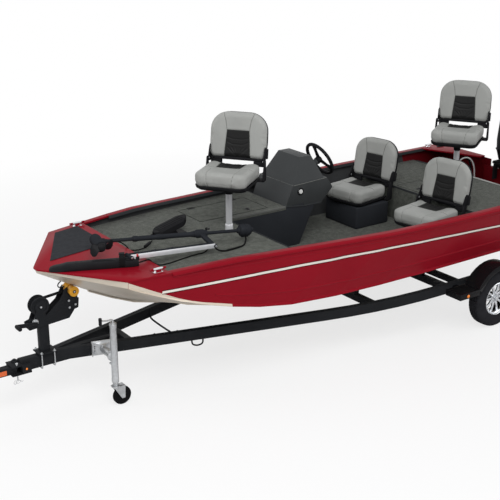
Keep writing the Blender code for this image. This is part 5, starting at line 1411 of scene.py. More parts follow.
    def make_tub(self):
        """Moulded black shell under a cushion, with its rear bar and hinge ears."""
        tub = loft([round_ring(*sizes) for sizes in mm(
                        (-160, 176, 160, 50, 30, 26.2), (-170, 214, 196, 80, 40, 26.2),
                        (-178, 244, 220, 70, 40, 44), (-181, 248, 223, 70, 40, 43),
                        (-181, 240, 217, 70, 40, 20), (-176, 218, 200, 60, 40, 4),
                        (-160, 170, 150, 50, 30, 0))])
        pieces = [rounded(tub, 0.001, 1), slab((-0.215, -0.2445, 0.002), (-0.17, 0.2445, 0.024), 0.006, 2)]
        crown = [(-0.19 + 0.016 * math.cos(math.radians(a)), 0.165 + 0.016 * math.sin(math.radians(a)))
                 for a in range(10, 171, 20)]
        for side in (-1, 1):
            pieces.append(
                panel([(-0.148, 0.004), (-0.134, 0.018)] + crown + [(-0.214, 0.03), (-0.208, 0.004)],
                      side * 0.2452, side * 0.2578, "XZ", 0.0025, 2))
            pieces.append(slab((-0.208, side * 0.19, 0.003), (-0.142, side * 0.2565, 0.023), 0.005, 2))
        return joined(pieces)

    def make_shell(self):
        """Black moulded shell behind a back, with its welt and the brackets under its corners."""
        shell = panel(self.back_outline(0.013), -0.0765, -0.059, "YZ", 0.006, 3)
        pieces = [shell, slab((-0.072, -0.215, -0.0035), (-0.03, 0.215, 0.022), 0.005, 2)]
        for side in (1, -1):
            pieces.append(slab((-0.068, side * 0.14, -0.048), (-0.036, side * 0.2355, 0.03), 0.006, 2))
        return joined(pieces)

    def make_arms(self):
        """Two steel arms that carry a back on its hinge."""
        outline = ((-0.052, -0.018), (-0.04, -0.022), (0.006, -0.022), (0.014, -0.014), (0.014, 0.02),
                   (-0.006, 0.1), (-0.02, 0.118), (-0.055, 0.118))
        pieces = []
        for side in (-1, 1):
            pieces.append(panel(outline, side * 0.2364, side * 0.2444, "XZ", 0.0015, 2))
            pieces.append(slab((-0.078, side * 0.22, 0.02), (-0.05, side * 0.256, 0.105), 0.006, 2))
        return joined(pieces)

    def make_bolts(self):
        """Hinge bolts with hexagon heads and washers."""
        pieces = []
        for side in (-1, 1):
            for x, z in ((0.0, 0.0), (-0.03, 0.06)):
                y = side * 0.2362
                pieces.append(rod((x, y, z), (x, y - side * 0.0015, z), 0.01, 20))
                pieces.append(rod((x, y, z), (x, y - side * 0.0055, z), 0.0065, 6, bevel=0.0008))
        return joined(pieces)

    def posts(self):
        """Pedestal tubes with their collars, sockets and swivel plates."""
        for name, deck_z in (("bow", BOW_DECK_Z), ("stern", AFT_DECK_Z)):
            x, y, z = SEATS[name][:3]
            tube_piece = turned(
                ((0.0, deck_z + 0.0005), (0.034, deck_z + 0.0005), (0.034, deck_z + 0.02),
                 (0.033, deck_z + 0.024), (0.033, deck_z + 0.046), (0.031, deck_z + 0.05),
                 (0.027, deck_z + 0.052), (0.027, z - 0.06), (0.0, z - 0.06)), 40, (x, y, 0))
            cup = turned(
                mm((0, -75), (30, -75), (32, -70), (33, -50), (40, -30), (58, -19), (60, -17.8),
                   (0, -17.8)), 40, (x, y, z))
            plate = slab((x - 0.084, y - 0.084, z - 0.0178), (x + 0.084, y + 0.084, z - 0.008), 0.002, 2)
            upper = slab((x - 0.08, y - 0.08, z - 0.0078), (x + 0.08, y + 0.08, z - 0.0006), 0.002, 2)
            lever = tube(
                [(x + 0.02, y - 0.03, z - 0.04), (x + 0.03, y - 0.085, z - 0.034),
                 (x + 0.03, y - 0.13, z - 0.038)], 0.0045)
            put_in_place(tube_piece, "post_" + name, "post", stands_for=("seat_post_" + name,))
            put_in_place([cup, plate, upper, lever], "seat_swivel_" + name, "black")
        softened("passenger_seat_stand", "black", 0.003, 2)


# Outboard motor

class BOAT_OT_outboard(Operator):
    """Outboard motor on its clamp bracket, with its cowl seal, latch and anode"""

    bl_idname = "boat.outboard"
    bl_label = "Outboard motor"

    def execute(self, context):
        """Dress the outboard."""
        softened("outboard_clamp", "black", 0.003, 2)
        softened("outboard_swivel", "black", 0.003, 2)
        softened("outboard_motor", "gloss", 0.004, 2, angle=35, smooth=50)
        parts = [turned(mm((0, -55), (36, -54.5), (38, -40), (36, 20), (31, 46), (20, 50), (18, 55),
                           (0, 55.5)), 36)]
        for index in range(3):
            vane = blade(
                0.028, 0.139, (0.075, 0.1, 0.118, 0.118, 0.09, 0.03), (62, 52, 44, 38, 33, 30), 0.014, 26)
            parts.append(moved(vane, Matrix.Rotation(math.radians(120 * index), 4, "Z")))
        put_in_place(
            moved(parts, facing((-1.5855, 0, 0.42), (-1, 0, 0))), "outboard_screw", "black",
            body="outboard_propeller", angle=50, stands_for=("outboard_propeller",))
        base_z = 1.125 + 0.0506
        seam = []
        for index in range(48):
            angle = 2 * math.pi * index / 48
            c, s = math.cos(angle), math.sin(angle)
            u = math.copysign(abs(c) ** 0.65, c)
            v = math.copysign(abs(s) ** 0.65, s)
            seam.append((-1.338 + 0.2865 * u, 0.1745 * v, base_z + 0.106))
        seal = tube(seam, 0.004, smooth=False, sides=2, cyclic=True)
        put_in_place(seal, "cowl_seal", "rubber", body="outboard_motor", angle=60)
        anode = slab((-1.52, -0.03, 0.5965), (-1.44, 0.03, 0.606), 0.003)
        latch = slab((-1.64, -0.028, base_z + 0.082), (-1.618, 0.028, base_z + 0.132), 0.004)
        put_in_place(anode, "anode", "zinc", body="outboard_motor")
        put_in_place(latch, "cowl_latch", "black", body="outboard_motor")
        bolts = []
        for y in (-0.125, 0.125):
            for z in (0.81, 0.9, 1.0):
                x = -1.17 - 0.03 - (z - 0.78) * 0.16 - 0.0005
                bolts.append(rod((x + 0.01, y, z), (x - 0.008, y, z), 0.008, 6, bevel=0.001))
        put_in_place(bolts, "clamp_bolts", "zinc")
        return {"FINISHED"}


# Bow trolling motor

SHAFT_FRONT, SHAFT_AFT = Vector((3.48, 0.085, 1.262)), Vector((2.36, 0.345, 1.206))
SHAFT_WAY = (SHAFT_AFT - SHAFT_FRONT).normalized()
MOUNT_FRONT, MOUNT_AFT = (3.95, 0.12), (3.37, 0.43)


class BOAT_OT_trolling(Operator):
    """Bow trolling motor lying stowed on its mount, with its cables and pedal"""

    bl_idname = "boat.trolling"
    bl_label = "Trolling motor"

    def execute(self, context):
        """Make the trolling motor."""
        self.mount()
        self.column()
        self.arms()
        self.pedal()
        self.leads()
        return {"FINISHED"}

    def mount(self):
        """Tapered housing that lies along the bow cap, with its pivot drum and strap."""
        front, aft = (Vector((x, y, cap_top(x))) for x, y in (MOUNT_FRONT, MOUNT_AFT))
        along = (aft - front).normalized()
        aside = Vector((0, 0, 1)).cross(along).normalized()
        up, length = along.cross(aside), (aft - front).length
        rings = []
        section = ((-0.96, 0.0), (-1.0, 0.1), (-1.0, 0.62), (-0.9, 0.88), (-0.66, 1.0), (0.66, 1.0),
                   (0.9, 0.88), (1.0, 0.62), (1.0, 0.1), (0.96, 0.0))
        for share, half, height in (
                (0.0, 0.022, 0.016), (0.01, 0.033, 0.026), (0.05, 0.043, 0.034), (0.13, 0.048, 0.04),
                (0.2, 0.05, 0.05), (0.5, 0.05, 0.052), (0.86, 0.05, 0.054), (0.95, 0.047, 0.052),
                (0.99, 0.042, 0.046), (1.0, 0.036, 0.04)):
            centre = front + along * length * share
            rings.append([centre + aside * half * u + up * (0.0016 + (height - 0.0016) * v)
                          for u, v in section])
        housing = loft(rings)
        drum_at = aft - along * 0.072
        drum = turned(mm((0, 40), (40, 40), (44, 50), (43, 58), (34, 62), (34, 66), (0, 68)), 32, drum_at)
        ribs = []
        for share in (0.3, 0.36, 0.42, 0.48, 0.54):
            centre = front + along * length * share + up * 0.0515
            ribs.append(beam(centre - aside * 0.03, centre + aside * 0.03, 0.006, 0.0036, 0.0012))
        put_in_place([housing, drum] + ribs, "trolling_bed", "black", stands_for=("trolling_mount",))
        path = [drum_at + aside * 0.056 * math.copysign(abs(math.cos(a)) ** 0.45, math.cos(a)) + up
                * (0.0475 + 0.044 * math.copysign(abs(math.sin(a)) ** 0.45, math.sin(a)))
                for a in (2 * math.pi * step / 40 for step in range(40))]
        strap = band([place - along * 0.05 for place in path], along, 0.04, 0.0022)
        buckle = rounded(
            beam(drum_at - along * 0.072 + up * 0.0945, drum_at - along * 0.028 + up * 0.0945, 0.034,
                 0.007), 0.0015, 2)
        put_in_place(strap, "tie_strap", "webbing")
        put_in_place(buckle, "strap_buckle", "black")
        button = turned(mm((0, 60), (11.5, 60), (11.5, 78), (9, 82), (0, 83)), 24, aft - along * 0.012)
        guard = turned(mm((11.8, 40), (17, 40), (17, 64), (11.8, 66)), 24, aft - along * 0.012, closed=True)
        put_in_place(button, "release_button", "red_lens")
        put_in_place(guard, "button_guard", "black")

    def column(self):
        """Shaft, sleeves, collar, steering head and motor pod, with the two-bladed propeller."""
        shaft = rod(SHAFT_FRONT - SHAFT_WAY * 0.03, SHAFT_AFT, 0.0138, 24)
        sleeve = turned(
            mm((0, 230), (19, 230), (22.5, 236), (22.5, 262), (19.5, 268), (19.5, 420), (22.5, 426),
               (22.5, 452), (19.5, 458), (19.5, 700), (22.5, 706), (22.5, 722), (0, 722)), 28)
        head = turned(
            mm((0, -60), (19, -60), (24, -54), (25, -44), (43, -38), (49, -28), (51, -6), (48, -2), (48, 4),
               (51, 8), (49, 30), (44, 44), (32, 56), (22, 60), (20, 64), (18, 74), (0, 75)), 36)
        box = slab((-0.03, -0.052, -0.034), (0.03, 0.03, 0.034), 0.012, 3)
        knob = turned(mm((0, 30), (16, 30), (18, 36), (18, 52), (14, 56), (0, 57)), 20, (0, 0, 0.01), "X")
        pieces = [shaft, moved(sleeve, facing(SHAFT_FRONT, SHAFT_WAY))]
        pieces.append(moved([head, box, knob], facing(SHAFT_AFT, SHAFT_WAY)))
        pod_turn = Vector((SHAFT_WAY.y, -SHAFT_WAY.x, 0)).normalized()
        pod_mid = SHAFT_FRONT - SHAFT_WAY * 0.048
        pod = turned(
            mm((0, -113), (16, -111), (30, -101), (40, -80), (44.5, -55), (45, 60), (43.5, 62), (43.5, 66),
               (45, 68), (45, 96), (43.5, 98), (43.5, 102), (45, 104), (44, 116), (40, 119.5), (0, 119.5)),
            40)
        pieces.append(moved(pod, facing(pod_mid, pod_turn)))
        neck = turned(mm((0, -10), (26, -6), (24, 20), (17, 32), (16, 44), (0, 46)), 24)
        pieces.append(moved(neck, facing(pod_mid + SHAFT_WAY * 0.034, SHAFT_WAY)))
        put_in_place(pieces, "trolling_column", "motor_grey", stands_for=("trolling_shaft",))
        hub = turned(mm((0, 0), (33, 0), (34, 6), (32, 24), (26, 38), (17, 44.5), (0, 45.5)), 32)
        vanes = [hub]
        for turn in (0, 180):
            vane = blade(
                0.022, 0.0955, (0.046, 0.072, 0.088, 0.09, 0.07, 0.03), (40, 36, 32, 28, 26, 24), 0.011, 30)
            vanes.append(
                moved(vane,
                      Matrix.Translation((0, 0, 0.023)) @ Matrix.Rotation(math.radians(turn), 4, "Z")))
        hub_from = pod_mid + pod_turn * 0.1203
        put_in_place(
            moved(vanes, facing(hub_from, pod_turn)), "trolling_screw", "black", body="trolling_propeller",
            angle=50, stands_for=("trolling_propeller",))

    def arms(self):
        """Swing arms, one black and one bright, and the collar that they carry."""
        start, link = Vector((3.432, 0.397, 1.2235)), Vector((2.7, 0.415, 1.17))
        collar = SHAFT_FRONT + SHAFT_WAY * 0.78
        lean = (link - start).normalized()
        beside = Vector((0, 0, 1)).cross(lean).normalized()
        black = [beam(start + beside * 0.026, link + beside * 0.022, 0.018, 0.026, 0.004, 3)]
        for share in (0.1, 0.3, 0.5):
            spot = start.lerp(link, share)
            black.append(beam(spot + beside * 0.004, spot + beside * 0.036, 0.05, 0.031, 0.004, 2))
        black.append(rod(start + beside * 0.045, start - beside * 0.045, 0.0155, 24, bevel=0.002))
        black.append(rod(link + beside * 0.04, link - beside * 0.04, 0.015, 24, bevel=0.002))
        black.append(beam(link + beside * 0.02, collar - beside * 0.02, 0.044, 0.024, 0.006, 3))
        ring = turned(
            mm((13.6, -56), (24, -56), (26, -52), (26, -40), (33, -34), (34, -30), (34, 20), (32, 26),
               (26, 30), (26, 52), (24, 56), (13.6, 56)), 28, closed=True)
        black.append(moved(ring, facing(collar, SHAFT_WAY)))
        put_in_place(black, "trolling_linkage", "motor_grey", stands_for=("trolling_arms",))
        bright = beam(start - beside * 0.026, link - beside * 0.026, 0.014, 0.036, 0.003, 2)
        put_in_place(bright, "bright_arm", "bright_bar")
        pins = [rod(place - beside * 0.03, place - beside * 0.049, 0.0085, 6, bevel=0.001)
                for place in (start, link)]
        put_in_place(pins, "arm_bolts", "zinc")

    def pedal(self):
        """Rocking foot pedal on its base, its tread curved up at the toe and ribbed."""
        x, y, z = 2.75, -0.17, 1.1003
        base = panel(
            mm((-140, -50), (-120, -74), (100, -80), (140, -60), (140, 60), (100, 80), (-120, 74),
               (-140, 50)), 0.0, 0.014, "XY", 0.003, 2)
        lug = loft([mm((-60, -48, 12), (60, -48, 12), (60, 48, 12), (-60, 48, 12)),
                    mm((-35, -44, 58), (25, -44, 58), (25, 44, 58), (-35, 44, 58))])
        wheel = turned(mm((0, 50), (30, 50), (32, 56), (30, 62), (0, 62)), 24, (0.01, 0, 0.034), "Y")
        rings, ribs, count = [], [], 16
        section = ((-1.0, -0.04), (-1.0, 0.004), (-0.93, 0.008), (0.93, 0.008), (1.0, 0.004), (1.0, -0.04),
                   (0.92, -0.04), (0.88, -0.004), (-0.88, -0.004), (-0.92, -0.04))
        for index in range(count + 1):
            share = index / count
            u = 0.145 - 0.3 * share
            w = 0.044 + 0.055 * share + 0.036 * share**3 + 0.012 * math.sin(math.pi * share)
            half = 0.07 * min(1.0, (0.3 + 2.9 * min(share, 1 - share) ** 0.8))
            rings.append([(u, half * a, w + b) for a, b in section])
            if 2 <= index <= count - 2:
                ribs.append(
                    slab((u - 0.003, -half * 0.8, w + 0.006), (u + 0.003, half * 0.8, w + 0.0125), 0.0012))
        place = Matrix.Translation((x, y, z))
        tread = joined([loft(rings)] + ribs)
        put_in_place(
            moved([base, lug, wheel, tread], place), "foot_control", "black", stands_for=("foot_pedal",))

    def leads(self):
        """Head cable, power cable and steering cable of the trolling motor."""
        loose_cord(
            "head_cable", mm((2376, 392, 1176), (2380, 398, 1140), (2402, 410, 1113), (2450, 425, 1106.8),
                             (2520, 436, 1106.8), (2590, 438, 1106.8), (2650, 432, 1118), (2686, 424, 1142),
                             (2698, 418, 1160)), 0.0065, "rubber")
        rings = [turned(mm((6, -1.8), (8.2, -1), (8.2, 1), (6, 1.8)), 16,
                        (2.46 + 0.012 * step, 0.427 + 0.0014 * min(step, 6), 1.1083), "X", closed=True)
                 for step in range(11)]
        put_in_place(rings, "cable_rings", "rubber")
        loose_cord(
            "power_cable", mm((2722, 392, 1158), (2735, 384, 1130), (2765, 376, 1108.5),
                              (2850, 372, 1105.5), (2980, 395, 1105.5), (3096, 417, 1105.5),
                              (3180, 416, 1107), (3235, 410, 1133), (3270, 407, 1165.5), (3315, 412, 1169),
                              (3360, 420, 1169)), 0.0048, "rubber")
        sleeve = rod((2.992, -0.064, 1.113), (3.078, 0.004, 1.113), 0.0125, 20, bevel=0.002)
        sleeve = put_in_place(sleeve, "cable_sleeve", "black")
        loose_cord(
            "steering_cable", mm((2894, -170, 1116), (2925, -140, 1108.5), (2970, -85, 1107),
                                 (3035, -30, 1110), (3095, 14, 1107), (3150, 22, 1107), (3195, 0, 1107),
                                 (3222, 12, 1112), (3245, 40, 1142), (3285, 68, 1186), (3340, 88, 1228),
                                 (3400, 98, 1248)), 0.004, "rubber")


# Trailer

def rail_spot(x):
    """Half-breadth of the frame rails ahead of their bend."""
    return 0.005 + 0.2758 * (3.96 - x)


class BOAT_OT_trailer(Operator):
    """Trailer frame, axle, bunks, tongue and fenders with their small fittings"""

    bl_idname = "boat.trailer"
    bl_label = "Trailer"

    def execute(self, context):
        """Dress the trailer."""
        softened("trailer_frame", "steel", 0.004, 3)
        softened("tongue_front", "steel", 0.004, 3)
        softened("axle_and_springs", "steel", 0.002, 2)
        for tag in ("port", "starboard"):
            softened("bunk_" + tag, "bunk", 0.004, 2)
            softened("fender_" + tag, "gloss", 0.0015, 2, smooth=40)
        self.rods()
        self.hinge()
        self.lamps()
        return {"FINISHED"}

    def rods(self):
        """Bent rods and clips on the rails, and the strap bolts of the winch stand."""
        wires = [tube(mm((2900, -268, 456), (2900, -266, 400), (2902, -258, 374), (2906, -235, 366),
                         (2935, 200, 386), (2944, 235, 402), (2948, 248, 430), (2950, 252, 446)), 0.0078,
                      sides=4),
                 tube(mm((2860, 326, 365.5), (2856, 330, 335), (2846, 336, 325), (2790, 352, 323),
                         (2776, 354, 334), (2770, 352, 365.5)), 0.0068, sides=4)]
        put_in_place(wires, "bent_rods", "steel", angle=60)
        clips = []
        for x in (3.142, 3.02):
            y = rail_spot(x)
            clips.append(slab((x - 0.012, y - 0.02, 0.4498), (x + 0.012, y + 0.02, 0.454), 0.001))
            clips.append(rod((x, y - 0.008, 0.4535), (x, y - 0.008, 0.461), 0.0065, 6, bevel=0.0008))
        put_in_place(clips, "rail_clips", "steel")
        bolts = []
        for x in (3.925, 4.03):
            bolts.append(
                tube([(x, 0.0555, 0.474), (x, 0.0555, 0.352), (x, 0.05, 0.337), (x, 0.036, 0.3345),
                      (x, -0.036, 0.3345), (x, -0.05, 0.337), (x, -0.0555, 0.352), (x, -0.0555, 0.474)],
                     0.005, smooth=False, sides=4))
            for y in (0.0555, -0.0555):
                bolts.append(rod((x, y, 0.46), (x, y, 0.4675), 0.0095, 6, bevel=0.001))
                bolts.append(rod((x, y, 0.4598), (x, y, 0.4615), 0.012, 20))
        put_in_place(bolts, "strap_bolts", "zinc")

    def hinge(self):
        """Caps, pivot pin and locking pin of the folding tongue, its amber reflector and a bare label."""
        pivot = [turned(mm((0, 38.2), (26, 38.2), (27, 42), (24, 48), (12, 51), (12, 58), (0, 59)), 28,
                        (4.215, -0.04, 0.373)),
                 turned(mm((0, -38.2), (24, -38.2), (24, -44), (12, -46), (12, -52), (0, -53)), 28,
                        (4.215, -0.04, 0.373))]
        for x in (4.145, 4.165):
            pivot.append(beam((x, -0.0688, 0.4118), (x, 0.0588, 0.4118), 0.008, 0.004, 0.001))
        put_in_place(pivot, "hinge_caps", "steel")
        pin = [turned(mm((0, 62), (10, 61), (11, 56), (6, 52), (6, 42), (0, 42)), 20,
                      (4.232, 0.046, 0.373)),
               rod((4.232, 0.046, 0.3349), (4.232, 0.046, 0.292), 0.006, 16, bevel=0.001)]
        ring = tube(
            [(4.232 + 0.017 * math.cos(a), 0.048, 0.283 + 0.014 * math.sin(a))
             for a in (2 * math.pi * step / 14 for step in range(14))], 0.0018, cyclic=True)
        clip = tube(
            mm((4250, 48, 300), (4262, 50, 292), (4266, 50, 276), (4254, 50, 268), (4246, 50, 279),
               (4232, 50, 285), (4214, 50, 288), (4200, 50, 276), (4192, 50, 284)), 0.0018)
        put_in_place(pin + [ring, clip], "locking_pin", "zinc", angle=50)
        lens = turned(mm((0, 0), (8.5, 0), (8.5, 3), (6, 5), (0, 5.5)), 24, (4.16, 0.0588, 0.373), "Y")
        put_in_place(lens, "hinge_reflector", "amber")
        label = slab((4.308, 0.0298, 0.35), (4.41, 0.0308, 0.388), 0.0003, 1)
        put_in_place(label, "bare_tongue_label", "orange", "tongue_front")

    def lamps(self):
        """Side and tail lamps, beaded fender edges and ribbed step pads."""
        amber, red, bezels, edges, pads = [], [], [], [], []
        for side in (1, -1):
            spot = facing((0.435, side * 1.0217, 0.405), (0, side, 0))
            bezels.append(moved(turned(mm((0, 0), (19, 0), (19, 3), (16.5, 5), (0, 5)), 28), spot))
            amber.append(moved(turned(mm((0, 4.8), (15, 4.8), (15, 7), (11.5, 9.6), (0, 10.8)), 28), spot))
            bezels.append(slab((-1.0605, side * 0.72, 0.374), (-1.0545, side * 0.84, 0.438), 0.002))
            red.append(slab((-1.07, side * 0.725, 0.379), (-1.0602, side * 0.835, 0.433), 0.004))
            arc = [(0.3355 * math.cos(a), side * 1.0205, TYRE_RADIUS + 0.3355 * math.sin(a))
                   for a in (math.radians(28 + 124 * step / 30) for step in range(31))]
            edges.append(tube(arc, 0.003, smooth=False, sides=2))
            for end in (-1, 1):
                low, high = sorted((end * 0.325, end * 0.515))
                pads.append(slab((low, side * 0.866, 0.4338), (high, side * 1.002, 0.4362), 0.001))
                for step in range(9):
                    x = low + 0.015 + (high - low - 0.03) * step / 8
                    pads.append(
                        slab((x - 0.0035, side * 0.872, 0.4358), (x + 0.0035, side * 0.996, 0.4386), 0.001,
                             1))
        put_in_place(bezels, "lamp_bezels", "black")
        put_in_place(amber, "side_lamps", "amber")
        put_in_place(red, "tail_lamps", "red_lens")
        put_in_place(edges, "fender_beads", "gloss", angle=60)
        put_in_place(pads, "step_pads", "rubber")


class BOAT_OT_winch(Operator):
    """Winch stand with its reel, ratchet, crank and bow roller"""

    bl_idname = "boat.winch"
    bl_label = "Winch and bow roller"

    def execute(self, context):
        """Dress the winch and add its small parts."""
        softened("winch_stand", "steel", 0.0012, 2)
        softened("winch_strap", "webbing", 0.0)
        softened("bow_roller", "yellow", 0.004, 3)
        plates, bright = [], []
        for side in (1, -1):
            ring = turned(mm((58, 0), (74.5, 0), (74.5, 3), (71, 5.5), (62, 4.5), (58, 3)), 44, closed=True)
            hub = turned(mm((0, 0), (24, 0), (24, 4), (18, 8), (16, 14), (0, 14)), 28)
            plates.append(moved([ring, hub], facing((4.005, side * 0.03, 0.835), (0, side, 0))))
            bright.append(
                rod((4.005, side * 0.043, 0.835), (4.005, side * 0.052, 0.835), 0.0085, 6, bevel=0.001))
            plates.append(
                panel(mm((3698, 760), (3775, 742), (3806, 790), (3792, 842), (3760, 862), (3716, 862),
                         (3690, 835)), side * 0.0382, side * 0.042, "XZ", 0.001))
            for x, z in ((3.722, 0.79), (3.772, 0.776), (3.775, 0.832)):
                bright.append(rod((x, side * 0.0415, z), (x, side * 0.0455, z), 0.0085, 20))
                bright.append(rod((x, side * 0.045, z), (x, side * 0.05, z), 0.006, 6, bevel=0.0008))
            bright.append(rod((3.735, side * 0.0652, 0.903), (3.735, side * 0.068, 0.903), 0.006, 16))
        teeth = []
        for step in range(28):
            radius = 0.027 if step % 2 == 0 else 0.022
            angle = 2 * math.pi * (step + (0.35 if step % 2 else 0.0)) / 28
            teeth.append((4.06 + radius * math.cos(angle), 0.725 + radius * math.sin(angle)))
        bright.append(panel(teeth, 0.0465, 0.0515, "XZ", 0.0005, 1))
        bright.append(rod((4.06, 0.05, 0.725), (4.06, 0.076, 0.725), 0.0105, 20, bevel=0.001))
        pawl = panel(
            mm((4090, 757), (4100, 764), (4112, 752), (4106, 742), (4090, 738), (4083, 745)), 0.0465, 0.052,
            "XZ", 0.0008)
        crank = joined([tube(mm((4060, 83, 725), (4110, 83, 724), (4160, 84, 728), (4205, 86, 738),
                                (4222, 90, 744)), 0.0095, sides=3),
                        turned(mm((0, 84), (11, 85), (15.5, 92), (16.5, 110), (15.5, 132), (16.5, 146),
                                  (13, 153.5), (0, 154)), 24, (4.222, 0, 0.744), "Y")])
        put_in_place(plates + [pawl], "winch_plates", "steel")
        put_in_place(bright, "winch_bolts", "zinc")
        put_in_place(crank, "winch_crank", "black", angle=50)
        # Thin black squares on the roller's ends stand in for its square bores: painted shade
        ends = []
        for side in (1, -1):
            ends.append(slab((3.722, side * 0.0648, 0.89), (3.748, side * 0.066, 0.916), 0.0004, 1))
        put_in_place(ends, "roller_sockets", "black", body="bow_roller")
        collars = []
        for side in (1, -1):
            collar = turned(mm((13.5, 0), (24, 0), (26, 1.6), (22, 2.8), (13.5, 2.8)), 28, closed=True)
            collars.append(moved(collar, facing((3.735, side * 0.0648, 0.903), (0, side, 0))))
        put_in_place(collars, "roller_collars", "yellow", "bow_roller")
        return {"FINISHED"}


class BOAT_OT_jack(Operator):
    """Swing-up tongue jack with its caster"""

    bl_idname = "boat.jack"
    bl_label = "Tongue jack"

    def execute(self, context):
        """Dress the jack and add its crank, bolts and plates."""
        softened("jack_bracket", "zinc", 0.003, 2)
        softened("jack_leg", "zinc", 0.0012, 2)
        softened("jack_fork", "zinc", 0.0012, 2)
        softened("jack_wheel", "rubber", 0.004, 3)
        x, y, z = 3.56, 0.33, 0.41
        outer = turned(
            mm((0, 700), (20, 700), (21, 693.5), (26.5, 692), (28.5, 689), (28.5, 668), (27, 666),
               (27, 236), (28.5, 234), (28.5, 202.5), (26.5, 200.5), (22.2, 200.5), (22.2, 640), (0, 640)),
            36, (x, y, 0))
        disc = turned(
            mm((0, -38.5), (36, -38.5), (42, -34), (42, -26), (30, -20), (24, -10), (0, -10)), 32,
            (x, y, z), "Y")
        arm = tube(
            [(x, y, 0.698), (x, y, 0.714), (x + 0.008, y, 0.722), (x + 0.04, y, 0.724),
             (x + 0.078, y, 0.73), (x + 0.098, y, 0.738), (x + 0.104, y, 0.746)], 0.007, sides=3)
        stub = rod((x + 0.104, y, 0.726), (x + 0.104, y, 0.742), 0.0075, 16, bevel=0.001)
        straps = [slab((x - 0.031, y - 0.031, 0.352), (x + 0.031, y - 0.004, 0.364), 0.003),
                  slab((x - 0.031, y - 0.031, 0.456), (x + 0.031, y - 0.004, 0.468), 0.003)]
        put_in_place(
            [outer, disc, arm, stub] + straps, "jack_column", "zinc", "jack_tube",
            stands_for=("jack_tube",))
        grip = turned(
            mm((0, 700), (11, 701), (13, 706), (12.5, 725), (13.5, 745), (12.5, 757), (0, 760)), 24,
            (x + 0.104, y, 0))
        put_in_place(grip, "jack_grip", "black", body="jack_tube", angle=50)
        local = Matrix.Translation((x, 0.1413, z)) @ Matrix.Rotation(-math.atan(0.2758), 4, "Z")
        plates, bolts, holes = [], [], []
        for side in (-1, 1):
            low, high = sorted((side * 0.0905, side * 0.0845))
            plates.append(
                panel(((low, 0.0116), (high, 0.0116), (high, 0.036), ((low + high) / 2, 0.04),
                       (low, 0.036)), -0.043, 0.073, "XY", 0.001, 1))
            for height in (-0.024, 0.052):
                spot = (side * 0.066, 0.0115, height)
                bolts.append(rod(spot, (spot[0], 0.015, height), 0.012, 20))
                bolts.append(rod(spot, (spot[0], 0.022, height), 0.009, 6, bevel=0.001))
                bolts.append(rod(spot, (spot[0], 0.03, height), 0.005, 12, bevel=0.001))
            # Thin black discs stand in for the bracket's adjustment holes: painted shade
            for height in (-0.004, 0.014, 0.032):
                holes.append(rod((side * 0.066, 0.0118, height), (side * 0.066, 0.0124, height), 0.0052, 16))
        put_in_place(moved(plates + bolts, local), "bracket_plates", "zinc")
        put_in_place(moved(holes, local), "bracket_holes", "black")
        knob = [rod((x - 0.034, y - 0.07, z + 0.026), (x - 0.034, y - 0.034, z + 0.026), 0.0055, 16),
                turned(mm((0, -40), (10, -40), (11, -36), (11, -30), (0, -29)), 20,
                       (x - 0.034, y, z + 0.026), "Y")]
        put_in_place(knob, "swing_latch", "zinc", "jack_tube")
        wheel_x, wheel_z = x - 0.05, 0.076
        ends = []
        for side in (-1, 1):
            ends.append(
                moved(turned(mm((0, 0), (14, 0), (14, 2), (9, 4), (8, 8), (0, 9.5)), 20),
                      facing((wheel_x, y + side * 0.0308, wheel_z), (0, side, 0))))
        put_in_place(ends, "caster_bolts", "zinc", "jack_fork")
        return {"FINISHED"}


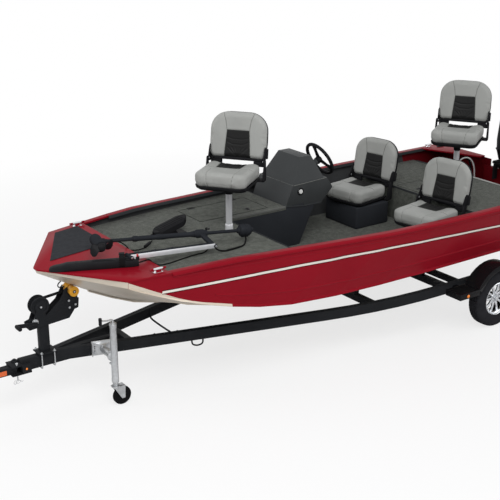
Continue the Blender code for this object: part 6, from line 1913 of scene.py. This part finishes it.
class BOAT_OT_wheels(Operator):
    """Tyres with a cut tread on spoked rims"""

    bl_idname = "boat.wheels"
    bl_label = "Wheels"

    def execute(self, context):
        """Make one wheel for each side."""
        values = context.scene.boat_trailer
        for side, tag in ((1, "port"), (-1, "starboard")):
            body = "wheel_" + tag
            centre = Matrix.Translation((0, side * 0.93, TYRE_RADIUS))
            flip = Matrix.Identity(4) if side > 0 else Matrix.Rotation(math.pi, 4, "Z")
            tyre = self.make_tyre(values.tread_blocks)
            put_in_place(
                moved(tyre, centre @ flip), "tread_tyre_" + tag, "tyre", body,
                stands_for=("tyre_" + tag,))
            rim, nuts = self.make_rim(values.spokes)
            put_in_place(
                moved(rim, centre @ flip), "spoked_rim_" + tag, "chrome", body,
                stands_for=("rim_" + tag,))
            put_in_place(moved(nuts, centre @ flip), "wheel_nuts_" + tag, "zinc", body)
        return {"FINISHED"}

    def make_tyre(self, blocks):
        """Tyre round the Y axis with grooves between its tread blocks and ribs on its shoulders."""
        half = 0.07
        profile = [(0.1555, half - 0.012, 0), (0.16, half - 0.006, 0), (0.168, half - 0.003, 0),
                   (0.172, half - 0.0045, 0), (0.176, half - 0.0015, 0), (0.2, half - 0.0002, 0),
                   (0.222, half - 0.0006, 0), (0.236, half - 0.004, 0), (0.2385, half - 0.0045, 2),
                   (0.25, half - 0.01, 2), (0.2575, half - 0.016, 3), (0.264, half - 0.023, 1),
                   (0.2655, half - 0.03, 1), (0.2585, half - 0.0315, 0), (0.2585, half - 0.0375, 0),
                   (0.2662, half - 0.039, 1), (0.2668, half - 0.052, 1), (0.259, half - 0.0535, 0),
                   (0.259, half - 0.0595, 0), (0.2669, half - 0.061, 1), (0.267, 0.0, 1)]
        whole = profile + [(r, -y, kind) for r, y, kind in reversed(profile[:-1])]
        steps = blocks * 4
        points = []
        for index in range(steps):
            angle = 2 * math.pi * index / steps
            phase = index % 4
            for r, y, kind in whole:
                radius = r
                turn = angle + (0.35 * abs(y) if kind == 1 else 0.0)
                if kind == 1 and phase == 0:
                    radius = r - 0.0055
                if kind == 3 and phase == 0:
                    radius = r - 0.0045
                if kind == 2 and phase in (0, 1):
                    radius = r - 0.0012
                points.append((radius * math.cos(turn), y, radius * math.sin(turn)))
        count = len(whole)
        faces = []
        for index in range(steps):
            following = (index + 1) % steps
            for row in range(count):
                last = (row + 1) % count
                faces.append((index * count + row, index * count + last, following * count + last,
                              following * count + row))
        return face_out(from_parts(points, [], faces))

    def make_rim(self, spokes):
        """Rim round the Y axis, its outer face towards +Y, with tapered spokes and a hub cap."""
        half = 0.07
        barrel = turned(
            ((0.1548, half - 0.0125), (0.15, half - 0.01), (0.147, half - 0.0125), (0.1455, half - 0.02),
             (0.134, half - 0.03), (0.13, 0.01), (0.13, -half + 0.03), (0.144, -half + 0.02),
             (0.147, -half + 0.0125), (0.15, -half + 0.01), (0.1548, -half + 0.0125),
             (0.151, -half + 0.024), (0.136, -half + 0.034), (0.136, half - 0.034), (0.151, half - 0.022)),
            96, axis="Y", closed=True)
        pieces = [barrel]
        spoke = loft([[(0.036, 0.024, -0.013), (0.036, 0.024, 0.013), (0.036, 0.004, 0.015),
                       (0.036, 0.004, -0.015)],
                      [(0.085, 0.03, -0.0085), (0.085, 0.03, 0.0085), (0.085, 0.012, 0.0105),
                       (0.085, 0.012, -0.0105)],
                      [(0.134, 0.026, -0.012), (0.134, 0.026, 0.012), (0.134, 0.012, 0.015),
                       (0.134, 0.012, -0.015)]])
        rounded(spoke, 0.003, 2)
        for index in range(spokes):
            pieces.append(twin(spoke, Matrix.Rotation(2 * math.pi * index / spokes, 4, "Y")))
        bpy.data.objects.remove(spoke, do_unlink=True)
        pieces.append(turned(mm((0, 24), (40, 26), (46, 22), (46, -10), (40, -54), (0, -54)), 64, axis="Y"))
        pieces.append(
            turned(mm((0, 49.5), (12, 49), (18, 46.5), (21, 40), (22.5, 24), (0, 24)), 40, axis="Y"))
        nuts = []
        for index in range(5):
            angle = 2 * math.pi * index / 5 + 0.3
            x, z = 0.0335 * math.cos(angle), 0.0335 * math.sin(angle)
            nuts.append(rod((x, 0.022, z), (x, 0.038, z), 0.0078, 6, bevel=0.0015))
        return joined(pieces), joined(nuts)


# Sidebar and running order

class BOAT_PT_tools(Panel):
    """Sidebar panel that lists the boat's pieces"""

    bl_idname = "BOAT_PT_tools"
    bl_label = "Fishing boat"
    bl_space_type = "VIEW_3D"
    bl_region_type = "UI"
    bl_category = "Boat"

    def draw(self, context):
        """List the values and the pieces."""
        for group in ("boat_paint", "boat_seats", "boat_trailer", "boat_stage"):
            holder = getattr(context.scene, group)
            for key in holder.__annotations__:
                self.layout.prop(holder, key)
        for operator in OPERATORS:
            self.layout.operator(operator.bl_idname)


OPERATORS = (BOAT_OT_stage, BOAT_OT_hull, BOAT_OT_rails, BOAT_OT_stern, BOAT_OT_decks, BOAT_OT_console,
             BOAT_OT_seats, BOAT_OT_outboard, BOAT_OT_trolling, BOAT_OT_trailer, BOAT_OT_winch,
             BOAT_OT_jack, BOAT_OT_wheels)
GROUPS = (("boat_paint", BoatPaint), ("boat_seats", BoatSeats), ("boat_trailer", BoatTrailer),
          ("boat_stage", BoatStage))


def register():
    """Register the values, the operators and the panel."""
    for name, group in GROUPS:
        bpy.utils.register_class(group)
        setattr(bpy.types.Scene, name, PointerProperty(type=group))
    for operator in OPERATORS:
        bpy.utils.register_class(operator)
    bpy.utils.register_class(BOAT_PT_tools)


def unregister():
    """Take them off again."""
    bpy.utils.unregister_class(BOAT_PT_tools)
    for operator in reversed(OPERATORS):
        bpy.utils.unregister_class(operator)
    for name, group in reversed(GROUPS):
        delattr(bpy.types.Scene, name)
        bpy.utils.unregister_class(group)


def main():
    """Dress the whole boat."""
    register()
    for operator in OPERATORS:
        group, name = operator.bl_idname.split(".")
        getattr(getattr(bpy.ops, group), name)()


if __name__ == "__main__":
    main()
